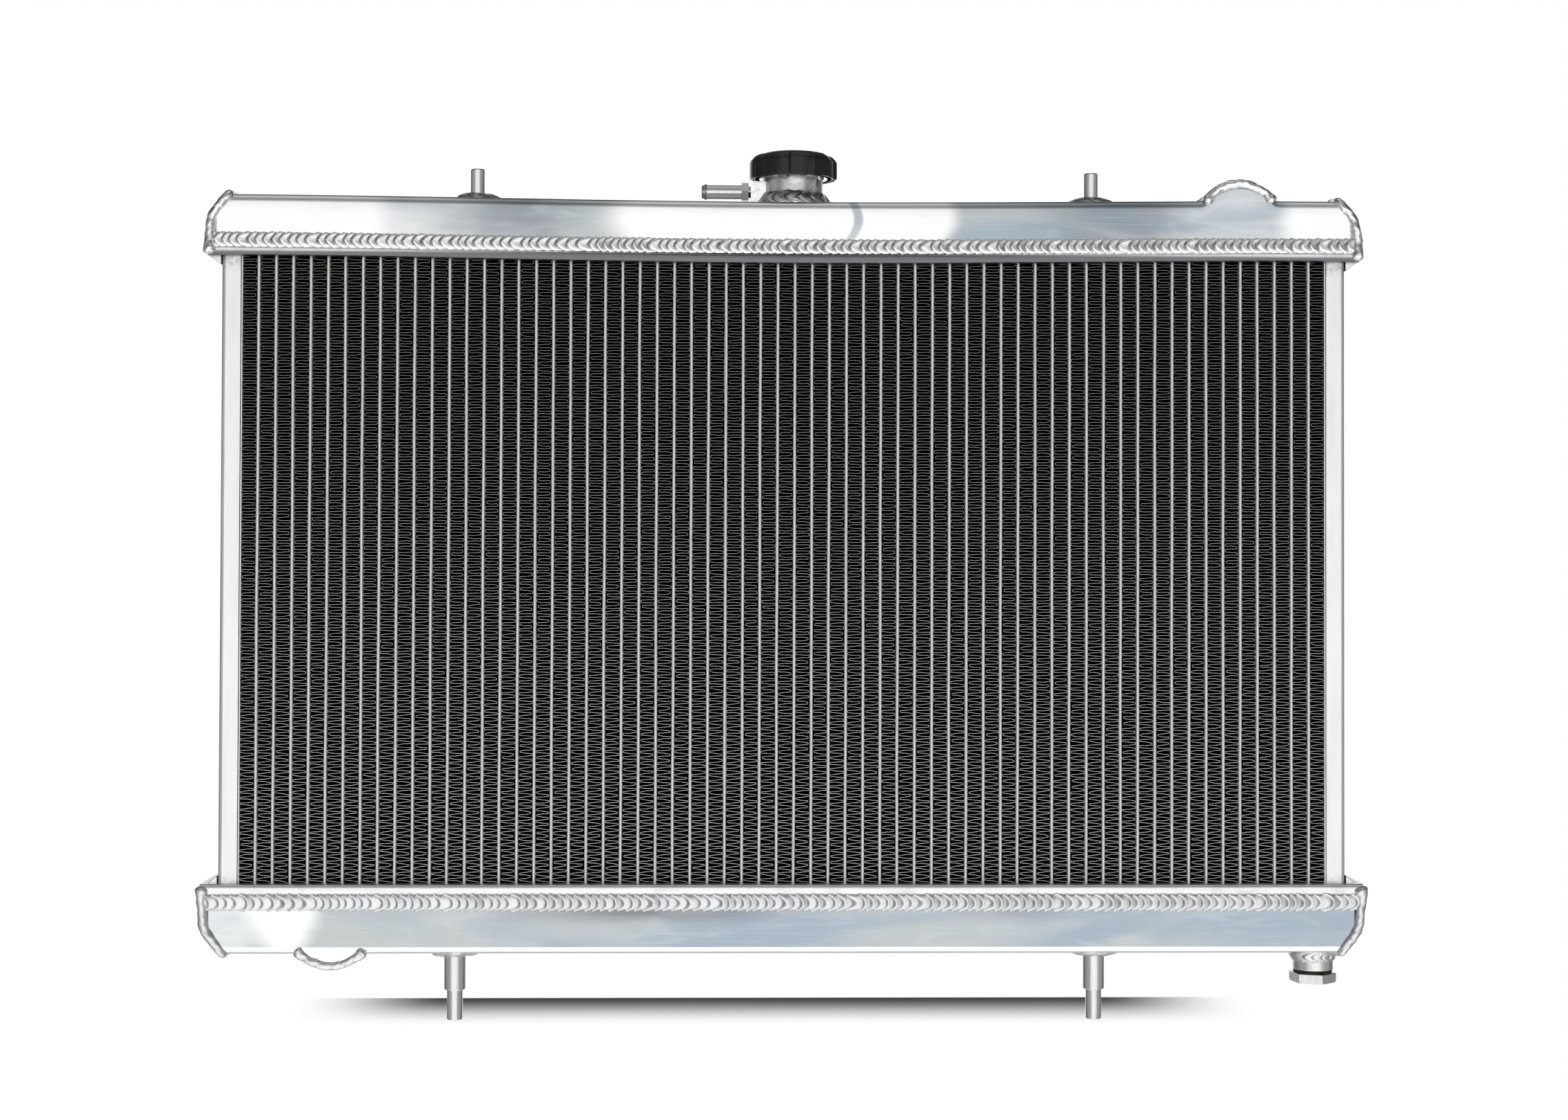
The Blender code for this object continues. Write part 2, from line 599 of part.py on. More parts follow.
# --- Filler neck --------------------------------------------------------------------------
def make_neck(top_tank, finishes):
    """The neck: a flange with two notches for the cap's ears, a valve seat and a port block."""
    foot = -NECK_RISE - SHEET + GAP
    weld = -NECK_RISE + GAP
    lip = -FLANGE_THICKNESS
    profile = [
        (SEAT_BORE, foot),
        (NECK_RADIUS, foot),
        (NECK_RADIUS, weld),
        (NECK_RADIUS + NECK_FLARE, weld),
        (NECK_RADIUS + NECK_FLARE * 0.4, weld + 2.0),
        (NECK_RADIUS, weld + 5.0),
        (NECK_RADIUS, lip),
        (FLANGE_RADIUS, lip),
        (FLANGE_RADIUS, -0.5),
        (FLANGE_RADIUS - 0.5, 0),
        (NECK_BORE, 0),
        (NECK_BORE, -SEAT_DEPTH),
        (SEAT_BORE, -SEAT_DEPTH),
    ]
    neck = place("filler_neck", turned(profile, LARGE_SEGMENTS), finishes["satin"], NECK_AXIS)
    reach, half_width, drop = PORT_BLOCK
    block = box((-reach, -half_width, weld), (-NECK_BORE - 1, half_width, -drop))
    shape(neck, "UNION", block, NECK_AXIS)
    for half_turn in (0, math.pi):
        ends = (NOTCH_FROM + half_turn, NOTCH_TO + half_turn)
        notch = wedge(NECK_RADIUS, FLANGE_RADIUS + 2, *ends, lip - 0.5, 2, 6)
        shape(neck, "DIFFERENCE", notch, NECK_AXIS)
        start = STOP_AT + half_turn
        stop_low = lip - EAR_THICKNESS - GAP
        ends = (start - STOP_HALF_ANGLE, start + STOP_HALF_ANGLE)
        stop = wedge(NECK_RADIUS - 1, FLANGE_RADIUS - 0.7, *ends, stop_low, lip + 1)
        shape(neck, "UNION", stop, NECK_AXIS)
    port_at = (NECK_X, 0, NECK_AXIS[2] - PORT_DEPTH)
    past = 2 * reach
    port = turned([(0, SEAT_BORE), (PORT_RADIUS, SEAT_BORE), (PORT_RADIUS, past), (0, past)])
    shape(neck, "DIFFERENCE", port, port_at, ALONG_MINUS_X)
    socket_end = reach - FITTING_SHANK - GAP
    socket = FITTING_SHANK_RADIUS + GAP
    mouth = turned([(0, socket_end), (socket, socket_end), (socket, past), (0, past)])
    shape(neck, "DIFFERENCE", mouth, port_at, ALONG_MINUS_X)
    hole = NECK_RADIUS + GAP
    opening = turned([(0, -2 * SHEET), (hole, -2 * SHEET), (hole, 2), (0, 2)], LARGE_SEGMENTS)
    shape(top_tank, "DIFFERENCE", opening, (NECK_X, 0, TANK_TOP_Z))

    at = (NECK_X - reach, 0, port_at[2])
    collar = FITTING_GROOVE + FITTING_HEX
    barb = collar + NIPPLE_LENGTH
    fitting_profile = [
        (PORT_RADIUS, -FITTING_SHANK),
        (FITTING_SHANK_RADIUS, -FITTING_SHANK),
        (FITTING_SHANK_RADIUS, FITTING_GROOVE + 1),
        (NIPPLE_RADIUS, FITTING_GROOVE + 1),
        (NIPPLE_RADIUS, barb),
        (BARB_RADIUS, barb + 0.5),
        (BARB_RADIUS - 1.3, barb + BARB_LENGTH),
        (PORT_RADIUS, barb + BARB_LENGTH),
    ]
    fitting = place("overflow_fitting", turned(fitting_profile), finishes["satin"], at, ALONG_MINUS_X)
    hexagon = prism(regular(6, FITTING_HEX_RADIUS, math.radians(30)), FITTING_GROOVE, collar, "Z")
    shape(fitting, "UNION", hexagon, at, ALONG_MINUS_X)
    through = turned([(0, -9), (PORT_RADIUS, -9), (PORT_RADIUS, 40), (0, 40)])
    shape(fitting, "DIFFERENCE", through, at, ALONG_MINUS_X)


# --- Cap ----------------------------------------------------------------------------------
def cover_ring(radius, height, grip):
    """One ring of the cover: round, with broad shallow recesses between its lobes."""
    ring = []
    for i in range(12 * GRIP_COUNT):
        angle = FULL_TURN * i / (12 * GRIP_COUNT)
        wave = math.cos(GRIP_COUNT * (angle - GRIP_TURN))
        recess = min(max(0.5 + 1.5 * wave, 0), 1)
        r = radius - grip * recess
        ring.append((r * math.cos(angle), r * math.sin(angle), height))
    return ring


def make_cap(finishes):
    """Cover and shell turn together; the stem, its gasket and the two valves only lift."""
    at = NECK_AXIS
    wall = SHELL_RADIUS + COVER_WALL_CLEARANCE
    rings = [
        cover_ring(wall, COVER_CEILING, 0),
        cover_ring(wall, COVER_BOTTOM, 0),
        cover_ring(COVER_RADIUS, COVER_BOTTOM, GRIP_DEPTH * 0.7),
        cover_ring(COVER_RADIUS - 0.3, COVER_TOP - 5.5, GRIP_DEPTH),
        cover_ring(COVER_RADIUS - 3.5, COVER_TOP - 2.2, GRIP_DEPTH),
        cover_ring(COVER_RADIUS - 7.5, COVER_TOP - 0.6, 0.0),
        cover_ring(COVER_RADIUS - 14.0, COVER_TOP, 0.0),
    ]
    place("cap_cover", skin(rings), finishes["plastic"], at)

    shell_low = GASKET + 2 * GAP
    shell_top = shell_low + SHELL
    skirt_low = -FLANGE_THICKNESS
    profile = [
        (STEM_RADIUS + GAP, shell_low),
        (SHELL_RADIUS - SHELL, shell_low),
        (SHELL_RADIUS - SHELL, skirt_low),
        (SHELL_RADIUS, skirt_low),
        (SHELL_RADIUS, shell_top),
        (STEM_RADIUS + GAP, shell_top),
    ]
    shell = place("cap_shell", turned(profile, 32), finishes["steel"], at)
    ear_top = skirt_low - GAP - 0.1
    ear_low = ear_top - EAR_THICKNESS
    for half_turn in (0, math.pi):
        start = EAR_AT - EAR_HALF_ANGLE + half_turn
        end = EAR_AT + EAR_HALF_ANGLE + half_turn
        outer = SHELL_RADIUS - 0.25
        leg = wedge(SHELL_RADIUS - SHELL + 0.15, outer, start, end, ear_top - 0.5, skirt_low + 2)
        ear = wedge(EAR_INNER_RADIUS, outer + 0.1, start - 0.01, end + 0.01, ear_low, ear_top)
        shape(shell, "UNION", leg, at)
        shape(shell, "UNION", ear, at)

    inner = BELL_RADIUS - 2.4
    gasket = [
        (inner + GAP, GAP),
        (FLANGE_RADIUS, GAP),
        (FLANGE_RADIUS, GAP + GASKET),
        (inner + GAP, GAP + GASKET),
    ]
    place("cap_gasket", turned(gasket, 32), finishes["rubber"], at)

    head_low = shell_top + GAP
    ceiling = -0.9
    stem = [
        (0, head_low + RIVET_HEAD),
        (RIVET_RADIUS, head_low + RIVET_HEAD),
        (RIVET_RADIUS, head_low),
        (STEM_RADIUS, head_low),
        (STEM_RADIUS, GAP + GASKET),
        (inner, GAP + GASKET),
        (inner, 0),
        (BELL_RADIUS, 0),
        (BELL_RADIUS, -BELL_DEPTH),
        (BELL_RADIUS - BELL_WALL, -BELL_DEPTH),
        (BELL_RADIUS - BELL_WALL, ceiling),
        (0, ceiling),
    ]
    place("cap_stem", turned(stem, 32), finishes["brass"], at)

    seal_low = -SEAT_DEPTH + GAP
    seal_top = seal_low + SEAL
    plate_low = seal_top + GAP
    plate_top = plate_low + PLATE_THICKNESS
    rim = BELL_RADIUS - BELL_WALL - 0.4
    hole = POPPET_STEM_RADIUS + 0.7
    plate = [
        (hole, plate_low),
        (rim, plate_low),
        (rim, plate_low + PLATE_RIM),
        (rim - 0.8, plate_low + PLATE_RIM),
        (rim - 0.8, plate_top),
        (hole, plate_top),
    ]
    place("pressure_plate", turned(plate, 32), finishes["brass"], at)
    ring = [
        (hole + 1.3, seal_low),
        (SEAL_RADIUS, seal_low),
        (SEAL_RADIUS, seal_top),
        (hole + 1.3, seal_top),
    ]
    place("pressure_seal", turned(ring, 32), finishes["rubber"], at)
    coil(
        "pressure_spring",
        SPRING_RADIUS,
        SPRING_WIRE,
        plate_top + GAP,
        ceiling - GAP,
        SPRING_TURNS,
        finishes["steel"],
        at,
    )

    poppet_top = seal_low - GAP
    washer_low = poppet_top + POPPET_STEM_LENGTH
    washer = POPPET_STEM_RADIUS + 1.5
    poppet = [
        (0, poppet_top - POPPET_THICKNESS),
        (POPPET_RADIUS, poppet_top - POPPET_THICKNESS),
        (POPPET_RADIUS, poppet_top),
        (POPPET_STEM_RADIUS, poppet_top),
        (POPPET_STEM_RADIUS, washer_low),
        (washer, washer_low),
        (washer, washer_low + 0.8),
        (0, washer_low + 0.8),
    ]
    place("vacuum_valve", turned(poppet, 16), finishes["brass"], at)
    coil(
        "vacuum_spring",
        POPPET_STEM_RADIUS + 0.9,
        VACUUM_SPRING_WIRE,
        plate_top + GAP,
        washer_low - GAP,
        VACUUM_SPRING_TURNS,
        finishes["steel"],
        at,
        8,
    )


def main():
    for obj in list(bpy.data.objects):
        bpy.data.objects.remove(obj)
    finishes = make_materials()
    make_core(finishes["tube"])
    make_sides(finishes)
    inlet = (INLET_X, INLET_HEIGHT, INLET_HUMP_RADIUS)
    outlet = (OUTLET_X, OUTLET_HEIGHT, OUTLET_HUMP_RADIUS)
    top_tank = make_tank(
        "top", CORE_TOP_Z, 1, TOP_TANK_LENGTH, TOP_TANK_HEIGHT, TOP_END_SLOPE, inlet, finishes
    )
    bottom_tank = make_tank(
        "bottom",
        CORE_BOTTOM_Z,
        -1,
        BOTTOM_TANK_LENGTH,
        BOTTOM_TANK_HEIGHT,
        BOTTOM_END_SLOPE,
        outlet,
        finishes,
    )
    make_pipe("inlet_pipe", INLET_X, CORE_TOP_Z + INLET_HEIGHT, finishes["satin"])
    make_pipe("outlet_pipe", OUTLET_X, CORE_BOTTOM_Z - OUTLET_HEIGHT, finishes["satin"])
    make_pins(finishes["satin"])
    make_drain(bottom_tank, finishes)
    make_neck(top_tank, finishes)
    make_cap(finishes)


main()
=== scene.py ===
# %% [markdown]
# # A car radiator in welded aluminium
#
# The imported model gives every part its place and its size. This lesson gives each surface the form
# and the finish that a maker would see: drawn tubes, folded fins, rippled weld beads, polished
# sheet, and a moulded black cap. Lengths are in millimetres, and turn into Blender's metres only
# when a mesh is made.

# %% Load the frame
import json
import math

import bmesh
import bpy
import numpy as np
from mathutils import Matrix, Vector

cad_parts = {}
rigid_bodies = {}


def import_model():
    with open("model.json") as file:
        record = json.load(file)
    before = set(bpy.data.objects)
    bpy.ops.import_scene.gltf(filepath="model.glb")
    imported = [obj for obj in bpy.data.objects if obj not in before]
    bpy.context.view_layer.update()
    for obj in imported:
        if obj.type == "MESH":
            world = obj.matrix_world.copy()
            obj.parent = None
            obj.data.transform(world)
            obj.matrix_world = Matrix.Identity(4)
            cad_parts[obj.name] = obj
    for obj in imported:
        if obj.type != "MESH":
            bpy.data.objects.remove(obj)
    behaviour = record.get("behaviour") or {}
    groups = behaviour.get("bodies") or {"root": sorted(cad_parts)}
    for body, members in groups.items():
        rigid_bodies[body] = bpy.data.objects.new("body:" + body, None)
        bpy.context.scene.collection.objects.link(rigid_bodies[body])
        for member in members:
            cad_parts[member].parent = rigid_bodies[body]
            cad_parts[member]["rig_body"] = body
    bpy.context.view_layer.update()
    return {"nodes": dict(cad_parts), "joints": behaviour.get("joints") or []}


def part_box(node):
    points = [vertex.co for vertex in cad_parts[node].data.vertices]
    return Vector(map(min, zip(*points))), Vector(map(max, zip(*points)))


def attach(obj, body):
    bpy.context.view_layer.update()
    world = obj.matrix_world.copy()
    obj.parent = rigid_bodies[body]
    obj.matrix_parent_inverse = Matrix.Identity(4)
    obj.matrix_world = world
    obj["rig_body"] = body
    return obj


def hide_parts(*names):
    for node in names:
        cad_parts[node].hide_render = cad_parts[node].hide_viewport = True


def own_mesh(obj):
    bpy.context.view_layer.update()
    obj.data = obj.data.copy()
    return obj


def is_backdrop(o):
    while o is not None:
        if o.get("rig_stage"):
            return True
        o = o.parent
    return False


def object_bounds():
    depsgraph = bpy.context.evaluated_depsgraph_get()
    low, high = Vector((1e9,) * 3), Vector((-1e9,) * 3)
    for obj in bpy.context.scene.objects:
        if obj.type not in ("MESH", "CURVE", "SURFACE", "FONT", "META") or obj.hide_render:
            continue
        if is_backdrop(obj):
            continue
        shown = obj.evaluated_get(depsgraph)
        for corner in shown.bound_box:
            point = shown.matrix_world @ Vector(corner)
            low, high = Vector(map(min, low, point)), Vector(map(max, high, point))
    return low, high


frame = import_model()
MM = 0.001
FULL_TURN = 2 * math.pi


def span(node):
    """The node's lowest and highest corners, in millimetres."""
    low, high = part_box(node)
    return np.array(low) / MM, np.array(high) / MM


GAP = 0.3
TANK_TOP = span("top_pin_left")[0][2] - GAP
TANK_BOTTOM = span("lower_pin_left")[1][2] + GAP
FLOOR_LEVEL = span("lower_pin_left")[0][2]
print("tank top", TANK_TOP, "tank bottom", TANK_BOTTOM, "floor", FLOOR_LEVEL)

# %% [markdown]
# ## Camera
#
# A level camera stands a metre and a half from the grille side and looks at the middle of the core.
# It stands a little to the left, so the left edge is drawn slightly taller than the right one.
# It leans back by a degree, which a lens shift takes out again, so the foot is drawn a hair wider.
# A long lens keeps the upright tubes parallel.

# %% Camera
CAMERA_DISTANCE = 1450.0
CAMERA_HEIGHT = 252.6
CAMERA_YAW = math.radians(1.5)
CAMERA_ROLL = math.radians(0.18)
CAMERA_PITCH = math.radians(1.0)
FRONT_Y = span("top_tank")[0][1]

camera_data = bpy.data.cameras.new("camera")
camera_data.sensor_width = 36.0
camera_data.lens = 56.9
camera_data.shift_x = -0.0012
camera_data.shift_y = -0.0264
camera = bpy.data.objects.new("camera", camera_data)
camera.location = (
    -math.sin(CAMERA_YAW) * CAMERA_DISTANCE * MM,
    (FRONT_Y - math.cos(CAMERA_YAW) * CAMERA_DISTANCE) * MM,
    CAMERA_HEIGHT * MM,
)
camera.rotation_euler = (math.radians(90) + CAMERA_PITCH, -CAMERA_ROLL, -CAMERA_YAW)
bpy.context.scene.collection.objects.link(camera)
bpy.context.scene.camera = camera
bpy.context.scene.view_settings.view_transform = "Standard"

# %% [markdown]
# ## Shader maths
#
# A finish is worked out from positions and noise. Writing that as Python expressions is shorter
# than wiring nodes by hand, so a small class stands for one output of a node, and its signs add
# Math nodes. Every other node comes from one method.


# %% Wires and finishes
class Wire:
    """One output of a node. Python's signs on it add Math nodes."""

    def __init__(self, finish, socket):
        self.finish = finish
        self.socket = socket

    def math(self, operation, *others):
        values = dict(enumerate((self, *others)))
        return self.finish.node("Math", {"operation": operation}, values)

    def __add__(self, other):
        return self.math("ADD", other)

    def __sub__(self, other):
        return self.math("SUBTRACT", other)

    def __mul__(self, other):
        return self.math("MULTIPLY", other)

    def __rsub__(self, other):
        return self * -1 + other

    def __abs__(self):
        return self.math("ABSOLUTE")

    __radd__ = __add__
    __rmul__ = __mul__

    def step(self, low, high):
        """0 below low and 1 above high, with a smooth ramp between."""
        settings = {"interpolation_type": "SMOOTHSTEP"}
        sockets = {"Value": self, "From Min": low, "From Max": high}
        return self.finish.node("MapRange", settings, sockets)


class Finish:
    """A node tree with one way to add a node."""

    def __init__(self, tree):
        self.tree = tree

    def node(self, kind, settings=None, sockets=None, output=0):
        made = self.tree.nodes.new("ShaderNode" + kind)
        for name, value in (settings or {}).items():
            setattr(made, name, value)
        for name, value in (sockets or {}).items():
            self.feed(made.inputs[name], value)
        return Wire(self, made.outputs[output])

    def feed(self, socket, value):
        if isinstance(value, Wire):
            self.tree.links.new(value.socket, socket)
        elif isinstance(value, tuple) and len(value) == 3 and socket.type == "RGBA":
            socket.default_value = (*value, 1.0)
        else:
            socket.default_value = value

    def mix(self, share, first, second):
        """The first colour at 0 and the second at 1."""
        return self.node("Mix", {"data_type": "RGBA"}, {0: share, 6: first, 7: second}, output=2)

    def places(self):
        """Object coordinates in millimetres, one wire for each axis."""
        at = self.node("TexCoord", output=3)
        split = self.node("SeparateXYZ", None, {0: at})
        outputs = split.socket.node.outputs
        return [Wire(self, outputs[i]) * 1000 for i in range(3)]

    def noise(self, size, detail=2.0, roughness=0.5, distortion=0.0):
        """Soft noise whose lumps have this size along X, Y and Z."""
        at = self.node("TexCoord", output=3)
        per_lump = tuple(1000 / length for length in size)
        scaled = self.node("VectorMath", {"operation": "MULTIPLY"}, {0: at, 1: per_lump})
        sockets = {
            "Vector": scaled,
            "Scale": 1.0,
            "Detail": detail,
            "Roughness": roughness,
            "Distortion": distortion,
        }
        return self.node("TexNoise", None, sockets)

    def bump(self, height, depth, strength=1.0):
        """A Normal from a height of 0 to 1 that stands for this depth in millimetres."""
        sockets = {"Strength": strength, "Distance": depth * MM, "Height": height}
        return self.node("Bump", None, sockets)

    def attribute(self, name):
        settings = {"attribute_type": "GEOMETRY", "attribute_name": name}
        return self.node("Attribute", settings, output=2)


def new_material(name, paint, **constants):
    """A Principled material. `paint` gets its Finish and returns what varies over the surface."""
    made = bpy.data.materials.new(name)
    made.use_nodes = True
    finish = Finish(made.node_tree)
    shader = made.node_tree.nodes["Principled BSDF"]
    for socket, value in {**constants, **paint(finish)}.items():
        finish.feed(shader.inputs[socket.replace("_", " ")], value)
    return made


# %% [markdown]
# ## Studio
#
# Polished metal shows its surroundings, so the room is part of the finish. A white room with a
# darker ceiling and darker sides gives bright flat faces, grey upper edges and upright bands on
# the pins, as bright metal has in a painter's booth. The lamps light the cap and the rubber, and
# stay out of the mirror images. The floor is white paper that carries a soft painted shadow.


# %% Room, lamps and floor
def paint_room():
    """White to the eye, graded by direction to mirrors, and dim to every dull surface."""
    world = bpy.data.worlds.new("room")
    world.use_nodes = True
    bpy.context.scene.world = world
    finish = Finish(world.node_tree)
    at = finish.node("TexCoord", output=0)
    split = finish.node("SeparateXYZ", None, {0: at}).socket.node.outputs
    x, y, z = (Wire(finish, split[i]) for i in range(3))
    side = abs(x).step(0.36, 0.80)
    ceiling = z.step(0.10, 0.60)
    skylight = z.step(0.86, 0.96)
    behind = y.step(0.0, 0.35) * (1 - y.step(0.80, 0.96))
    seen = (1 - side * 0.68) * (1 - ceiling * 0.78) * (1 - behind * 0.6) * 1.2 + skylight * 0.3
    rays = finish.node("LightPath").socket.node.outputs
    to_camera = Wire(finish, rays["Is Camera Ray"])
    mirrored = Wire(finish, rays["Is Glossy Ray"]) + Wire(finish, rays["Is Transmission Ray"])
    lit = 1 - (to_camera + mirrored).step(0.0, 1.0)
    strength = to_camera + mirrored.step(0.0, 1.0) * seen + lit * 0.22
    background = world.node_tree.nodes["Background"]
    background.inputs["Color"].default_value = (1, 1, 1, 1)
    finish.feed(background.inputs["Strength"], strength)


def hang_lamp(name, at, size, power):
    """A square lamp, in metres and watts, that faces the middle of the part."""
    data = bpy.data.lights.new(name, "AREA")
    data.size = size
    data.energy = power
    lamp = bpy.data.objects.new(name, data)
    lamp.location = at
    lamp.visible_glossy = False
    aim = bpy.data.objects["body:radiator"].location.copy()
    aim.z = CAMERA_HEIGHT * MM
    lamp.rotation_euler = (aim - lamp.location).to_track_quat("-Z", "Y").to_euler()
    bpy.context.scene.collection.objects.link(lamp)


def paint_floor(finish):
    """White paper with a soft shadow: dark along its back edge, fading forwards and sideways."""
    x, y, _ = finish.places()
    across = x.step(-300, -205) * (1 - x.step(195, 290))
    along = y.step(-30, 62) * (1 - y.step(61, 65))
    tone = finish.mix(across * along, (1.0, 1.0, 1.0), (0.06, 0.06, 0.06))
    paper = finish.node("Emission", None, {"Color": tone, "Strength": 1.0})
    finish.feed(finish.tree.nodes["Material Output"].inputs["Surface"], paper)


def lay_floor():
    """A square of paper, level with the feet of the lower pins."""
    half = 6.0
    mesh = bpy.data.meshes.new("floor")
    level = FLOOR_LEVEL * MM
    corners = [(-half, -half, level), (half, -half, level), (half, half, level), (-half, half, level)]
    mesh.from_pydata(corners, [], [(0, 1, 2, 3)])
    floor = bpy.data.objects.new("floor", mesh)
    material = bpy.data.materials.new("white_floor")
    material.use_nodes = True
    material.node_tree.nodes.remove(material.node_tree.nodes["Principled BSDF"])
    paint_floor(Finish(material.node_tree))
    mesh.materials.append(material)
    floor.visible_glossy = False
    bpy.context.scene.collection.objects.link(floor)
    floor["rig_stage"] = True


paint_room()
hang_lamp("overhead", (-0.02, -0.14, 2.3), 0.12, 48.0)
hang_lamp("left_window", (-1.7, -1.8, 1.1), 1.1, 3.0)
hang_lamp("right_window", (1.8, -1.6, 0.8), 1.0, 2.0)
lay_floor()

# %% [markdown]
# ## Grids
#
# Nearly every new surface here is a grid of points whose columns close into a ring: a turned pin,
# a weld bead, a tube. The first and last rings are closed with a ladder of quads, or the rows
# close too, as on a pipe with a bore. If the volume comes out negative, every face is turned over.


# %% From grids to pieces
def grid_quads(rows, columns, round_rows=False, round_columns=True):
    """Quads between neighbouring points of a grid that is stored row by row."""
    row = np.arange(rows if round_rows else rows - 1)[:, None]
    column = np.arange(columns if round_columns else columns - 1)[None, :]
    below, beside = (row + 1) % rows, (column + 1) % columns
    corners = [
        row * columns + column,
        row * columns + beside,
        below * columns + beside,
        below * columns + column,
    ]
    return np.stack(corners, axis=-1).reshape(-1, 4)


def closed_quads(rows, columns, round_rows=False):
    """The grid's quads and, where its rows stay open, a ladder of quads over each end ring."""
    quads = grid_quads(rows, columns, round_rows)
    if round_rows:
        return quads
    i = np.arange(columns // 2 - 1)
    ladder = np.stack([i, i + 1, columns - 2 - i, columns - 1 - i], axis=-1)
    return np.concatenate([quads, ladder[:, ::-1], ladder + (rows - 1) * columns])


def facing_out(points, quads):
    """The same quads, turned over if the volume that they close is negative."""
    a, b, c, d = (points[quads[:, i]] - points.mean(axis=0) for i in range(4))
    volume = (np.cross(b - a, c - a) * a).sum() + (np.cross(c - a, d - a) * a).sum()
    return quads if volume > 0 else quads[:, ::-1]


def link_piece(name, mesh, material, body, slot, nodes=(), sharp=40):
    """The mesh as a piece that rides on a body and stands in for its nodes."""
    mesh.materials.clear()
    mesh.materials.append(material)
    mesh.shade_smooth()
    mesh.set_sharp_from_angle(angle=math.radians(sharp))
    piece = bpy.data.objects.new(name, mesh)
    bpy.context.scene.collection.objects.link(piece)
    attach(piece, body)
    if nodes:
        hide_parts(*nodes)
    return piece


def even_shading(piece):
    """Large faces keep their own direction, so the shading turns only at the corners."""
    shade = piece.modifiers.new("shade", "WEIGHTED_NORMAL")
    shade.keep_sharp = True
    return piece


def piece_from(name, points, quads, material, body, slot, nodes=(), groove=None, sharp=40):
    """A mesh object from points in millimetres, with an optional value for each point."""
    mesh = bpy.data.meshes.new(name)
    mesh.from_pydata((points * MM).tolist(), [], facing_out(points, quads).tolist())
    if groove is not None:
        values = mesh.attributes.new("groove", "FLOAT", "POINT")
        values.data.foreach_set("value", groove.astype(np.float32).ravel())
    print(name, len(quads) * 2, "triangles")
    return link_piece(name, mesh, material, body, slot, nodes, sharp)


def ringed_piece(name, grid, material, body, slot, round_rows=False, **options):
    """A piece from a grid (rows, columns, 3) whose columns close."""
    quads = closed_quads(*grid.shape[:2], round_rows)
    return piece_from(name, grid.reshape(-1, 3), quads, material, body, slot, **options)


# %% [markdown]
# ## Small tools for form
#
# Corners on real parts are never quite sharp, so profiles get a small round at each corner. Hand
# work is never quite even either: a sum of a few sine waves gives a slow unevenness, and a hash
# of whole numbers gives each puddle or fold its own size.


# %% Rounds, waves and hashes
def smooth(share):
    """A soft step: 0 at 0 and 1 at 1, level at both ends."""
    share = np.clip(share, 0, 1)
    return share * share * (3 - 2 * share)


def wobble(angle, seed):
    """A slow uneven wave of about -1 to 1 that repeats every full turn."""
    waves = ((1, 0.5), (2, 0.35), (3, 0.3), (5, 0.2))
    return sum(size * np.sin(k * angle + seed * (1.7 + k)) for k, size in waves)


def scatter(number, seed):
    """A value from 0 to 1 that looks random but belongs to its whole number."""
    return np.modf(np.abs(np.sin(number * 12.9898 + seed * 78.233) * 43758.5453))[0]


def rounded(corners, radius, steps=5):
    """The corners joined by straight lines, each inner corner eased by a short parabola."""
    corners = np.array(corners, float)
    share = np.linspace(0, 1, steps)[:, None]
    points = [corners[:1]]
    for before, corner, after in zip(corners, corners[1:], corners[2:]):
        start, end = before - corner, after - corner
        sizes = [np.linalg.norm(edge[:2]) for edge in (start, end)]
        start = corner + start * min(radius / sizes[0], 0.45)
        end = corner + end * min(radius / sizes[1], 0.45)
        points.append((1 - share) ** 2 * start + 2 * share * (1 - share) * corner + share**2 * end)
    return np.concatenate([*points, corners[-1:]])


def eased(corners, spacing):
    """A smooth route: corners cut four times over, then points at an even spacing."""
    route = np.array(corners, float)
    for _ in range(4):
        near = route[:-1] * 0.75 + route[1:] * 0.25
        far = route[:-1] * 0.25 + route[1:] * 0.75
        inner = np.stack([near, far], axis=1).reshape(-1, 3)
        route = np.concatenate([route[:1], inner, route[-1:]])
    length = np.concatenate([[0], np.cumsum(np.linalg.norm(np.diff(route, axis=0), axis=1))])
    at = np.linspace(0, length[-1], max(int(length[-1] / spacing), 8))
    return np.stack([np.interp(at, length, route[:, i]) for i in range(3)], axis=-1), at


AXES = {
    "Z": lambda a, b, h: (a, b, h),
    "-Z": lambda a, b, h: (a, b, -h),
    "Y": lambda a, b, h: (a, h, b),
    "-X": lambda a, b, h: (-h, a, b),
}


def turned(profile, centre, axis="Z", sides=72):
    """Rings round an axis: each point of the profile is a radius and a height along the axis."""
    profile = np.asarray(profile, float)
    angle = FULL_TURN * np.arange(sides) / sides
    out = profile[:, :1]
    parts = AXES[axis](out * np.cos(angle), out * np.sin(angle), profile[:, 1:2] + 0 * angle)
    return np.stack(parts, axis=-1) + np.array(centre)
